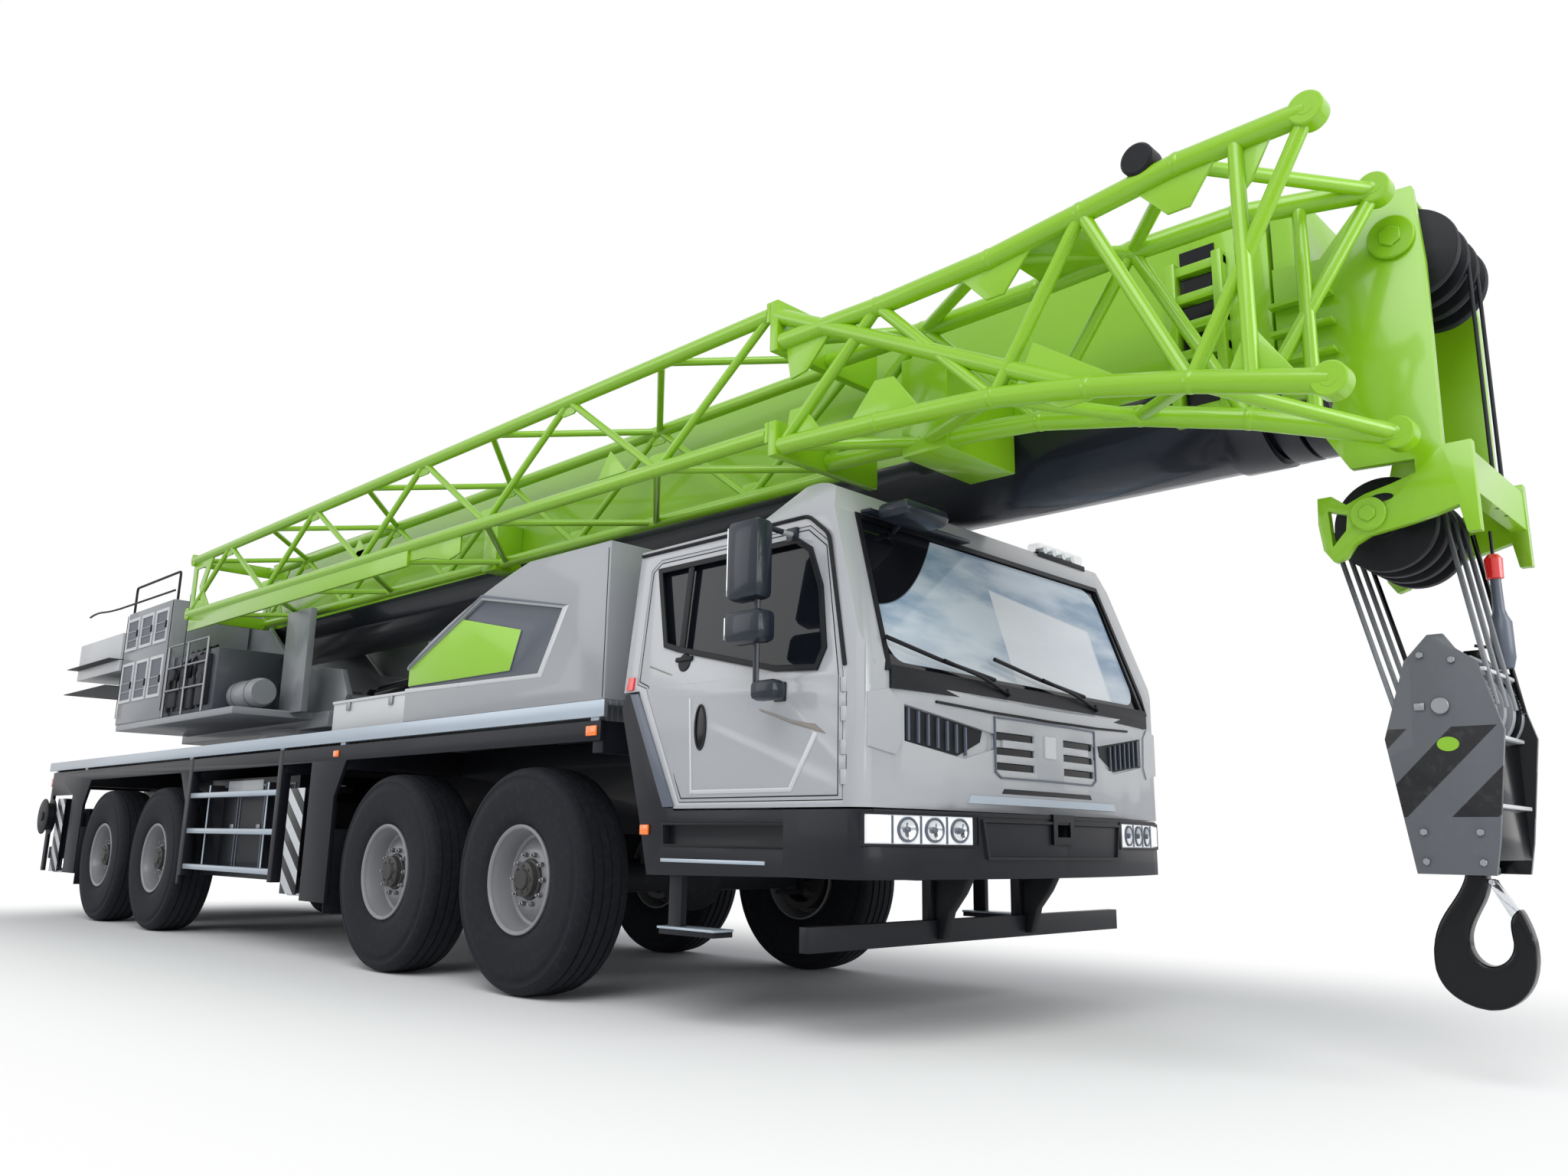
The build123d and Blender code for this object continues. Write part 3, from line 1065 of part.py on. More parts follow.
FORK = JIB_BASE_STATIONS[-1]
base_pieces = lattice(JIB_BASE_STATIONS, BASE_CHORD_RADIUS, BASE_BRACE_RADIUS)
for fork_y in FORK[1:3]:
    for fork_z in FORK[3:]:
        base_pieces.append(bar((FORK[0], fork_y - FORK_EYE_HALF_WIDTH, fork_z),
                               (FORK[0], fork_y + FORK_EYE_HALF_WIDTH, fork_z), FORK_EYE_RADIUS))
# the joint's cross plates, the brace that comes down from the joint, and the posts by the forks
JOINT_REACH = (JIB_JOINT[1] - 40, JIB_JOINT[2] + 40)
base_pieces.append(block((JIB_JOINT[0], JIB_JOINT[0] + 2 * JIB_END_PLATE), JOINT_REACH, (3010, 3210)))
base_pieces.append(block((JIB_JOINT[0], JIB_JOINT[0] + 2 * JIB_END_PLATE), JOINT_REACH, (3620, 3920)))
base_pieces.append(bar((JIB_JOINT[0] + JIB_END_PLATE, -1400, 3840), (6600, -1370, 2910), CHORD_RADIUS))
POST_X = 7310
base_pieces.append(bar((POST_X, -1400, 2745), (POST_X, -1400, 3790), BASE_BRACE_RADIUS))
base_pieces.append(bar((POST_X, -730, 2745), (POST_X, -730, 3790), BASE_BRACE_RADIUS))
# gussets in the outer side: corners as (X, Z)
OUTER_GUSSETS = [
    [(7290, 3790), (7470, 3790), (7360, 3590), (7300, 3530)],
    [(7200, 2775), (7290, 2960), (7330, 2960), (7500, 2700)],
    [(6220, 2980), (6330, 3200), (6760, 2910), (6600, 2850), (6460, 2850)],
]
GUSSET_Y = (-1385 - GUSSET_THICKNESS / 2, -1385 + GUSSET_THICKNESS / 2)
TOP_GUSSET = ((6150, 6560), (-1370, -950), (3700, 3700 + GUSSET_THICKNESS))
JIB_CARRIER_X = (5300, 5600)
with BuildPart() as jib_base:
    add(base_pieces)
    for outline in OUTER_GUSSETS:
        add(side_plate(outline, *GUSSET_Y))
    add(block(*TOP_GUSSET))
    add(block(JIB_CARRIER_X, (-1050, CARRIER_REACH[1]), (2960, CARRIER_TOP)))
save(jib_base.part, "jib_base")


# hook block: two cheeks, sheaves on a pin, rope falls up to the boom head
# block cheek: distance ahead of the block's middle, height
CHEEK_SHAPE = [(-150, 870), (140, 870), (165, 1000), (225, 1450), (150, 1740), (75, 1800), (35, 1865),
               (-25, 1865), (-125, 1760), (-230, 1430)]
CHEEK_OUTLINE = [(HOOK_X + ahead, height) for ahead, height in CHEEK_SHAPE]
block_cheek = side_plate(CHEEK_OUTLINE, CHEEK_PLATE_Y - CHEEK_PLATE_THICKNESS, CHEEK_PLATE_Y)
ROPE_LEAD_GAP = 7
HEAD_ROPE_OFFSET = SHEAVE_RADIUS + ROPE_RADIUS + ROPE_LEAD_GAP
BLOCK_ROPE_OFFSET = BLOCK_SHEAVE_RADIUS + ROPE_RADIUS / 2
with BuildPart() as hook_block:
    add(mirrored(block_cheek))
    add(bar((HOOK_X, -CHEEK_PLATE_Y, BLOCK_SHEAVE_Z), (HOOK_X, CHEEK_PLATE_Y, BLOCK_SHEAVE_Z), 50))
    add(block((HOOK_X - 120, HOOK_X + 120), (-CHEEK_PLATE_Y + 10, CHEEK_PLATE_Y - 10), (930, 1080)))
    for middle in SHEAVE_Y:
        add(bar((HOOK_X, middle - SHEAVE_WIDTH / 2, BLOCK_SHEAVE_Z),
                (HOOK_X, middle + SHEAVE_WIDTH / 2, BLOCK_SHEAVE_Z), BLOCK_SHEAVE_RADIUS))
        for way in (-1, 1):
            add(bar((HOOK_X + way * BLOCK_ROPE_OFFSET, middle, BLOCK_SHEAVE_Z),
                    (LOW_SHEAVE[0] + way * HEAD_ROPE_OFFSET, middle, LOW_SHEAVE[1]), ROPE_RADIUS))
    add(bar((HOOK_X, 0, 900), (HOOK_X, 0, 1090), HOOK_SHANK_RADIUS + PIN_GAP), mode=Mode.SUBTRACT)
save(hook_block.part, "hook_block")

# the hook: a shank and a thick forged bowl that thins to its tip
# points on its edge as distance ahead of the shank's middle, height
HOOK_BACK = [(-34, 900), (-70, 800), (-150, 680), (-192, 545), (-172, 415), (-85, 340), (45, 328),
             (145, 400), (192, 540), (180, 660), (150, 738)]
HOOK_INSIDE = [(125, 715), (108, 640), (112, 590), (75, 520), (15, 500), (-38, 545), (-32, 660),
               (20, 760), (44, 840), (34, 900)]
HOOK_HALF_WIDTH = 44
with BuildPart() as load_hook:
    with BuildSketch(Plane.XZ.offset(-HOOK_HALF_WIDTH)):
        with BuildLine():
            back = [(HOOK_X + ahead, height) for ahead, height in HOOK_BACK]
            inside = [(HOOK_X + ahead, height) for ahead, height in HOOK_INSIDE]
            Spline(*back)
            Line(back[-1], inside[0])
            Spline(*inside)
            Line(inside[-1], back[0])
        make_face()
    extrude(amount=2 * HOOK_HALF_WIDTH)
    add(bar((HOOK_X, 0, 860), (HOOK_X, 0, 1060), HOOK_SHANK_RADIUS))
save(load_hook.part, "load_hook")
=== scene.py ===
"""A four axle mobile crane with a stowed lattice jib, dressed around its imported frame."""

import json
import logging
import math
from dataclasses import dataclass
from enum import Enum
from typing import Any, Callable, ClassVar, Sequence

import bpy
from mathutils import Matrix, Vector

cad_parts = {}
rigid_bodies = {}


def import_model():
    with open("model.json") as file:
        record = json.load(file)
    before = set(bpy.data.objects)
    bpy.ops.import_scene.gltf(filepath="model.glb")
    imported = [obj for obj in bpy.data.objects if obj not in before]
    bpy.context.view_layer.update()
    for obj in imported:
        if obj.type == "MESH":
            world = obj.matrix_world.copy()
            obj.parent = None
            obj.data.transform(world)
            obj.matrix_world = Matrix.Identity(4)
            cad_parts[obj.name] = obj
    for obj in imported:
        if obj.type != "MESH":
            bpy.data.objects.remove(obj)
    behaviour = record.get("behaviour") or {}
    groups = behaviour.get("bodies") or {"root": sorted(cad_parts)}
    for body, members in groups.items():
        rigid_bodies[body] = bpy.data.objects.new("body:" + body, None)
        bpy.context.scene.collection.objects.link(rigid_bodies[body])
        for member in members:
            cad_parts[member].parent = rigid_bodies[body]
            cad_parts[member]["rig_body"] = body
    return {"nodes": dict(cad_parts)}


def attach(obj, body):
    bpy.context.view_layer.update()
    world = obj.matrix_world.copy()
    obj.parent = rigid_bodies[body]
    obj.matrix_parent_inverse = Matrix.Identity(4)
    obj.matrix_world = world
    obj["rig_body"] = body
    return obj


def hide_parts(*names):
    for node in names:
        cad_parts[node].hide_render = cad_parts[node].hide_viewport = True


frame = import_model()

log = logging.getLogger("crane")
Point = tuple[float, float, float]
Pair = tuple[float, float]
Colour = tuple[float, float, float, float]
Piece = bpy.types.Object
SIDES = (("right", -1), ("left", 1))

# how near corners have to lie to be merged, in metres, and what angle counts as flat, in degrees
MERGE = 0.00005
FLAT = 0.6

# the cab's front in metres: its nose is a bow of a large radius, and its windscreen leans back
NOSE_X = 5.5
BOW_RADIUS = 9.7105
SCREEN_FOOT_Z = 1.70
SCREEN_X = 5.44
SCREEN_Z = 1.74
SCREEN_RAKE = 0.335

# the cab's sides lean inwards above this height, by this much for each metre
BELT = 1.75
SIDE_LEAN = 0.1 / 0.9


def srgb(red: int, green: int, blue: int) -> Colour:
    """A colour of 0 to 255 steps as linear light."""
    return tuple(((c / 255 + 0.055) / 1.055) ** 2.4 for c in (red, green, blue)) + (1.0,)


def scaled(colour: Colour, share: float) -> Colour:
    """A colour made darker or lighter by a factor."""
    return tuple(c * share for c in colour[:3]) + (1,)


class Signal:
    """A shader socket that Python arithmetic can use."""

    def __init__(self, kit: "NodeKit", socket: Any) -> None:
        """Keep the socket and the material that it belongs to."""
        self.kit, self.socket = kit, socket

    def __add__(self, other: Any) -> "Signal":
        """Sum."""
        return self.kit.maths("ADD", self, other)

    __radd__ = __add__

    def __sub__(self, other: Any) -> "Signal":
        """Difference."""
        return self.kit.maths("SUBTRACT", self, other)

    def __rsub__(self, other: Any) -> "Signal":
        """Difference, the other way round."""
        return self.kit.maths("SUBTRACT", other, self)

    def __mul__(self, other: Any) -> "Signal":
        """Product."""
        return self.kit.maths("MULTIPLY", self, other)

    __rmul__ = __mul__

    def __truediv__(self, other: Any) -> "Signal":
        """Quotient."""
        return self.kit.maths("DIVIDE", self, other)

    def __mod__(self, other: Any) -> "Signal":
        """Remainder that stays positive."""
        return self.kit.maths("FLOORED_MODULO", self, other)

    def size(self) -> "Signal":
        """Distance from nought."""
        return self.kit.maths("ABSOLUTE", self)

    def step(self, low: float, high: float) -> "Signal":
        """A soft step from 0 at low to 1 at high."""
        return self.kit.step(self, low, high)


class NodeKit:
    """Builds the node tree of one material, or of the world."""

    def __init__(self, name: str, world: bpy.types.World | None = None) -> None:
        """Start an empty tree with its output, and a material's object coordinates.

        Args:
            name: the new material's name.
            world: the world to build in place of a material.
        """
        self.material = world or bpy.data.materials.new(name)
        self.material.use_nodes = True
        self.tree = self.material.node_tree
        self.tree.nodes.clear()
        self.output = self.node("ShaderNodeOutputWorld" if world else "ShaderNodeOutputMaterial")
        if not world:
            self.place = self.node("ShaderNodeTexCoord").outputs["Object"]
            parts = self.node("ShaderNodeSeparateXYZ", {}, {0: self.place})
            self.x, self.y, self.z = (Signal(self, parts.outputs[i]) for i in range(3))

    def node(self, kind: str, settings: dict | None = None, sockets: dict | None = None) -> Any:
        """Add a node.

        Args:
            kind: the node's type.
            settings: its properties, or a ramp's stops, set first.
            sockets: values or links, by socket name or number.

        Returns:
            The new node.
        """
        made = self.tree.nodes.new(kind)
        for key, value in (settings or {}).items():
            if key == "stops":
                while len(made.color_ramp.elements) < len(value):
                    made.color_ramp.elements.new(0.5)
                for element, (at, colour) in zip(made.color_ramp.elements, value):
                    element.position, element.color = at, colour
            else:
                setattr(made, key, value)
        for key, value in (sockets or {}).items():
            if isinstance(value, Signal):
                value = value.socket
            if isinstance(value, bpy.types.NodeSocket):
                self.tree.links.new(value, made.inputs[key])
            else:
                made.inputs[key].default_value = value
        return made

    def maths(self, operation: str, *values: Any) -> Signal:
        """A Math node on numbers or signals."""
        made = self.node("ShaderNodeMath", {"operation": operation}, dict(enumerate(values)))
        return Signal(self, made.outputs[0])

    def step(self, value: Signal, low: float, high: float) -> Signal:
        """A smooth step of a signal between two levels.

        Args:
            value: the signal.
            low: where the step starts.
            high: where it ends.

        Returns:
            A signal from 0 to 1.
        """
        sockets = {"Value": value, "From Min": low, "From Max": high}
        made = self.node("ShaderNodeMapRange", {"interpolation_type": "SMOOTHSTEP"}, sockets)
        return Signal(self, made.outputs[0])

    def noise(self, scale: float, detail: float = 3.0, stretch: Point = (1, 1, 1)) -> Signal:
        """Noise on object coordinates.

        Args:
            scale: how fine it is.
            detail: how many finer layers it has.
            stretch: a factor along each axis.

        Returns:
            A signal from 0 to 1.
        """
        placed = self.node("ShaderNodeMapping", {}, {"Vector": self.place, "Scale": stretch})
        sockets = {"Vector": placed.outputs[0], "Scale": scale, "Detail": detail}
        return Signal(self, self.node("ShaderNodeTexNoise", {}, sockets).outputs["Fac"])

    def blend(self, share: Any, first: Any, second: Any) -> Any:
        """Mix two colours by a share.

        Args:
            share: how much of the second colour, 0 to 1.
            first: a colour or a colour socket.
            second: a colour or a colour socket.

        Returns:
            The mixed colour's socket.
        """
        made = self.node("ShaderNodeMix", {"data_type": "RGBA"}, {0: share, 6: first, 7: second})
        return made.outputs[2]

    def bump(self, height: Signal, depth: float) -> Any:
        """A normal bent by a height signal, depth in metres."""
        sockets = {"Height": height, "Distance": depth, "Strength": 0.6}
        return self.node("ShaderNodeBump", {}, sockets).outputs[0]

    def peel(self) -> Any:
        """The faint orange peel of sprayed paint, as a normal."""
        return self.bump(self.noise(70.0, 1.0), 0.00004)

    def finish(self, shader: Any) -> None:
        """Link a shader to the output."""
        self.tree.links.new(shader.outputs[0], self.output.inputs[0])

    def shade(self, **sockets: Any) -> Any:
        """Close the material with a Principled shader.

        Args:
            sockets: its values or links, by socket name with underscores.

        Returns:
            The shader's node.
        """
        named = {key.replace("_", " "): value for key, value in sockets.items()}
        named = {"IOR" if key == "ior" else key: value for key, value in named.items()}
        made = self.node("ShaderNodeBsdfPrincipled", {}, named)
        self.finish(made)
        return made


@dataclass(frozen=True)
class Paint:
    """Sprayed vehicle paint, with a fine orange peel and dust low down."""

    name: str
    colour: Colour
    rough: float = 0.32
    coat: float = 0.35
    dust: float = 0.12
    metal: float = 0.0

    def build(self) -> bpy.types.Material:
        """Make the material."""
        kit = NodeKit(self.name)
        cloud = kit.noise(1.3, 4.0)
        speck = kit.noise(9.0, 2.0)
        grime = (1 - kit.z.step(0.2, 2.2)) * (0.4 + speck * 0.8) * self.dust
        tone = kit.blend(cloud.step(0.35, 0.7) * 0.10, self.colour, scaled(self.colour, 0.72))
        base = kit.blend(grime, tone, srgb(120, 112, 100))
        rough = self.rough + (speck - 0.5) * 0.03 + grime * 0.5
        shine = 0.5 if max(self.colour[:3]) > 0.06 else 0.2
        kit.shade(Base_Color=base, Roughness=rough, Metallic=self.metal, Coat_Weight=self.coat,
                  Coat_Roughness=0.08, Specular_IOR_Level=shine, Normal=kit.peel())
        return kit.material


@dataclass(frozen=True)
class ShadeBelowLevel:
    """Boom paint: one colour above a level and, below it, a dark colour that is painted shade on the boom's
    underside.
    """

    name: str
    upper: Colour
    lower: Colour
    level: float

    def build(self) -> bpy.types.Material:
        """Make the material."""
        kit = NodeKit(self.name)
        speck = kit.noise(40.0, 3.0)
        cloud = kit.noise(1.1, 4.0).step(0.35, 0.75) * 0.14
        shade = kit.blend(cloud, self.upper, scaled(self.upper, 0.7))
        # below the level the colour is painted shade of the boom's underside, not a paint of its own
        base = kit.blend(kit.z.step(self.level - 0.001, self.level + 0.001), self.lower, shade)
        streak = kit.noise(5.0, 4.0, (0.25, 6, 1)).step(0.55, 0.8)
        kit.shade(Base_Color=base, Roughness=0.3 + speck * 0.12 + streak * 0.08, Coat_Weight=0.4,
                  Coat_Roughness=0.08, Specular_IOR_Level=0.3, Normal=kit.peel())
        return kit.material


@dataclass(frozen=True)
class Stripes:
    """Two colours in slanted stripes on an upright face."""

    name: str
    first: Colour
    second: Colour
    pitch: float = 0.24
    slant: float = 1.0
    low: float = 0.0
    high: float = 4.0

    def build(self) -> bpy.types.Material:
        """Make the material, striped between two heights."""
        kit = NodeKit(self.name)
        wave = (kit.x * self.slant + kit.z) % self.pitch
        band = wave.step(self.pitch * 0.5 - 0.002, self.pitch * 0.5 + 0.002)
        band = band * kit.z.step(self.low, self.low + 0.002) * (1 - kit.z.step(self.high, self.high + 0.002))
        speck = kit.noise(30.0, 4.0)
        base = kit.blend(band, self.first, self.second)
        base = kit.blend(speck.step(0.5, 0.8) * 0.15, base, srgb(110, 108, 104))
        kit.shade(Base_Color=base, Roughness=0.38 + speck * 0.15, Coat_Weight=0.2,
                  Specular_IOR_Level=0.3, Normal=kit.peel())
        return kit.material


@dataclass(frozen=True)
class Rubber:
    """Moulded rubber or black plastic with a fine grain."""

    name: str
    colour: Colour
    rough: float = 0.62
    grain: float = 500.0
    dust: float = 0.25

    def build(self) -> bpy.types.Material:
        """Make the material."""
        kit = NodeKit(self.name)
        speck = kit.noise(26.0, 5.0)
        worn = speck.step(0.42, 0.8) * self.dust
        base = kit.blend(worn, self.colour, srgb(62, 64, 70))
        kit.shade(Base_Color=base, Roughness=self.rough + speck * 0.12, Specular_IOR_Level=0.22,
                  Normal=kit.bump(kit.noise(self.grain, 2.0), 0.0005))
        return kit.material


@dataclass(frozen=True)
class Metal:
    """Bare, brushed or chromed metal."""

    name: str
    colour: Colour
    rough: float = 0.35
    brushed: Point = (1, 1, 1)

    def build(self) -> bpy.types.Material:
        """Make the material."""
        kit = NodeKit(self.name)
        grain = kit.noise(120.0, 3.0, self.brushed)
        base = kit.blend(kit.noise(6.0, 4.0).step(0.4, 0.8) * 0.25, self.colour, scaled(self.colour, 0.6))
        kit.shade(Base_Color=base, Metallic=0.9, Roughness=self.rough + (grain - 0.5) * 0.2,
                  Normal=kit.bump(grain, 0.0003))
        return kit.material


@dataclass(frozen=True)
class Tread:
    """Painted deck plate with raised anti-slip lozenges."""

    name: str
    colour: Colour
    pitch: float = 0.045

    def build(self) -> bpy.types.Material:
        """Make the material."""
        kit = NodeKit(self.name)
        first = ((kit.x + kit.y) % self.pitch - self.pitch / 2).size()
        second = ((kit.x - kit.y) % self.pitch - self.pitch / 2).size()
        lozenge = (1 - first.step(0.003, 0.007)) * (second.step(0.004, 0.012))
        speck = kit.noise(18.0, 4.0)
        base = kit.blend(lozenge * 0.35 + speck.step(0.5, 0.8) * 0.2, self.colour, srgb(170, 172, 174))
        kit.shade(Base_Color=base, Roughness=0.5 + speck * 0.15, Metallic=0.1,
                  Normal=kit.bump(lozenge + speck * 0.1, 0.002))
        return kit.material


@dataclass(frozen=True)
class Glazing:
    """Tinted window glass that mirrors its surroundings."""

    name: str
    colour: Colour
    alpha: float
    index: float = 1.8

    def build(self) -> bpy.types.Material:
        """Make the material."""
        kit = NodeKit(self.name)
        film = kit.noise(3.0, 3.0).step(0.3, 0.8)
        base = kit.blend(film * 0.25, self.colour, scaled(self.colour, 1.6))
        kit.shade(Base_Color=base, Roughness=0.03 + film * 0.03, Alpha=self.alpha, ior=self.index,
                  Coat_Weight=0.15, Coat_Roughness=0.02)
        return kit.material


@dataclass(frozen=True)
class Screen:
    """Windscreen glass: a dark printed edge, with painted reflections in its colour: a cloudy sky, a bright
    glare low down and in a patch, and a dark curve at one corner that is the boom's reflection.
    """

    name: str
    # colours of the painted reflection, and of the printed edge with the boom's painted reflection
    sky: Colour = srgb(138, 164, 192)
    cloud: Colour = srgb(206, 218, 230)
    bright: Colour = srgb(238, 242, 246)
    dark: Colour = srgb(15, 17, 22)
    bend: float = 0.13
    half_width: float = 1.265
    half_height: float = 0.3865
    middle: float = 2.2315

    def build(self) -> bpy.types.Material:
        """Make the material."""
        kit = NodeKit(self.name)
        # painted reflection of a cloudy sky
        clouds = kit.noise(1.6, 5.0, (1, 0.6, 2.6)).step(0.4, 0.62)
        sky = kit.blend(clouds, self.sky, self.cloud)
        # painted glare: brighter towards the windscreen's foot
        low_glare = 1 - kit.z.step(1.85, 2.15)
        sky = kit.blend(low_glare * 0.45, sky, self.bright)
        # painted highlight: a bright patch across the middle of the glass
        lit = kit.y.step(-0.12, -0.115) * (1 - kit.y.step(0.92, 0.96))
        lit = lit * (1 - (kit.z + kit.y * 0.10).step(2.39, 2.41))
        sky = kit.blend(lit * 0.85, sky, self.bright)
        # painted reflection of the boom: a dark curve in the upper right-hand corner
        corner = (kit.z - (kit.y + 1.3) * (kit.y + 1.3) * 0.95).step(2.13, 2.145)
        half = self.half_width - (kit.z - 1.80) * 0.107
        over_side = kit.maths("MAXIMUM", kit.y.size() - half + self.bend, 0.0)
        over_end = kit.maths("MAXIMUM", (kit.z - self.middle).size() - self.half_height + self.bend, 0.0)
        reach = kit.maths("SQRT", over_side * over_side + over_end * over_end)
        edge = reach.step(self.bend - 0.002, self.bend + 0.002)
        # the printed edge and the boom's painted reflection are dark alike and more opaque
        print_and_reflection = kit.maths("MAXIMUM", edge, corner)
        base = kit.blend(print_and_reflection, sky, self.dark)
        kit.shade(Base_Color=base, Roughness=0.04 + clouds * 0.03, Alpha=0.86 + print_and_reflection * 0.14, ior=1.35,
                  Coat_Weight=0.2, Coat_Roughness=0.02)
        return kit.material


@dataclass(frozen=True)
class Lens:
    """A moulded lamp lens with fine ribs, faintly lit by itself."""

    name: str
    colour: Colour
    glow: float = 0.0
    alpha: float = 1.0

    def build(self) -> bpy.types.Material:
        """Make the material."""
        kit = NodeKit(self.name)
        ribs = ((kit.x + kit.y) % 0.012).step(0.002, 0.010)
        base = kit.blend(ribs * 0.3, self.colour, tuple(min(1, c * 1.5) for c in self.colour[:3]) + (1,))
        kit.shade(Base_Color=base, Roughness=0.12 + ribs * 0.1, Coat_Weight=1.0, Alpha=self.alpha,
                  Emission_Color=base, Emission_Strength=self.glow, Normal=kit.bump(ribs, 0.001))
        return kit.material


LIME = srgb(136, 190, 20)
# a near black navy that is painted shade under the boom
BOOM_UNDERSIDE_SHADE = srgb(24, 26, 36)


class Look(Enum):
    """The finishes of this machine."""

    GREEN = Paint("lime_paint", LIME, rough=0.3, coat=0.4, dust=0.0)
    PANEL_GREEN = Paint("lime_panel_paint", srgb(150, 205, 50), rough=0.4, coat=0.2, dust=0.0)
    # boom sections: lime above, painted shade on the underside below z 3.20
    BOOM = ShadeBelowLevel("boom_lime_with_painted_underside_shade", LIME, BOOM_UNDERSIDE_SHADE, 3.20)
    NAVY = Paint("navy_frame_paint", srgb(22, 24, 32), rough=0.42, coat=0.06, dust=0.03)
    INSET = Paint("slate_inset_paint", srgb(72, 78, 90), rough=0.45, coat=0.1, dust=0.0)
    CAB = Paint("cab_grey_paint", srgb(172, 174, 178), rough=0.28, coat=0.45, dust=0.02)
    # a lighter copy of the cab paint: painted highlight on panel edges and on the roof hatch
    CAB_HIGHLIGHT = Paint("cab_painted_highlight", srgb(196, 198, 201), rough=0.28, coat=0.45, dust=0.0)
    FAIRING = Paint("fairing_grey_paint", srgb(150, 153, 157), rough=0.33, coat=0.35, dust=0.02)
    # a darker copy of the cab's grey: painted shade under the door's crease
    CREASE_SHADE = Paint("crease_painted_shade", srgb(120, 114, 108), rough=0.35, coat=0.3, dust=0.0)
    SLATE = Paint("slate_trim_paint", srgb(84, 92, 106), rough=0.4, coat=0.2, dust=0.0)
    MIRROR_BACK = Paint("mirror_shell_paint", srgb(34, 40, 50), rough=0.35, coat=0.3, dust=0.0)
    BODY = Paint("body_grey_paint", srgb(138, 141, 146), rough=0.4, coat=0.2, dust=0.15)
    PALE = Paint("pale_grey_paint", srgb(204, 206, 208), rough=0.4, coat=0.2, dust=0.1)
    SILVER = Paint("deck_edge_paint", srgb(176, 188, 200), rough=0.3, coat=0.3, dust=0.02, metal=0.25)
    DECK = Tread("deck_plate", srgb(104, 108, 114))
    COVER = Stripes("cover_stripes", srgb(16, 17, 22), srgb(205, 208, 212), pitch=0.22, slant=0.8)
    CHEEK = Stripes("block_stripes", srgb(92, 95, 101), srgb(18, 19, 24), pitch=0.34, slant=-1.0, low=1.10,
                    high=1.47)
    TYRE = Rubber("tyre_rubber", srgb(25, 27, 33), rough=0.7, grain=160.0, dust=0.2)
    TRIM = Rubber("black_trim", srgb(20, 21, 26), rough=0.4, grain=600.0, dust=0.08)
    BUMPER = Rubber("bumper_grey", srgb(40, 40, 43), rough=0.4, grain=600.0, dust=0.08)
    HOUSE = Paint("machinery_grey_paint", srgb(64, 68, 76), rough=0.45, coat=0.1, dust=0.0)
    SEAT = Rubber("seat_fabric", srgb(46, 48, 54), rough=0.85, grain=300.0, dust=0.2)
    RIM = Paint("rim_paint", srgb(134, 136, 140), rough=0.34, coat=0.25, dust=0.12)
    # hub and drum: a dark paint of their own, made darker still as painted shade deep in the wheel's dish
    RIM_DARK = Paint("wheel_centre_paint_and_shade", srgb(44, 46, 50), rough=0.4, coat=0.15, dust=0.2)
    CAST = Rubber("dark_casting", srgb(40, 42, 47), rough=0.55, grain=90.0, dust=0.3)
    BLACK = Paint("gloss_black_paint", srgb(9, 11, 16), rough=0.2, coat=0.15, dust=0.0)
    STEEL = Metal("bare_steel", srgb(150, 152, 156), rough=0.38)
    ROPE = Metal("rope_wire", srgb(52, 54, 58), rough=0.6, brushed=(1, 1, 0.2))
    CHROME = Metal("polished_chrome", srgb(225, 228, 232), rough=0.08)
    MIRROR = Metal("mirror_glass", srgb(225, 230, 235), rough=0.02)
    SCREEN = Screen("windscreen_glass")
    WINDOW = Glazing("side_glass", srgb(20, 24, 30), 0.90, 1.3)
    LAMP_COVER = Glazing("lamp_cover", srgb(225, 230, 235), 0.22, 1.5)
    LAMP_WHITE = Lens("lamp_white", srgb(235, 238, 242), glow=0.25)
    ORANGE = Lens("lamp_orange", srgb(240, 112, 18), glow=0.25)
    RED = Lens("lamp_red", srgb(205, 30, 30), glow=0.2)


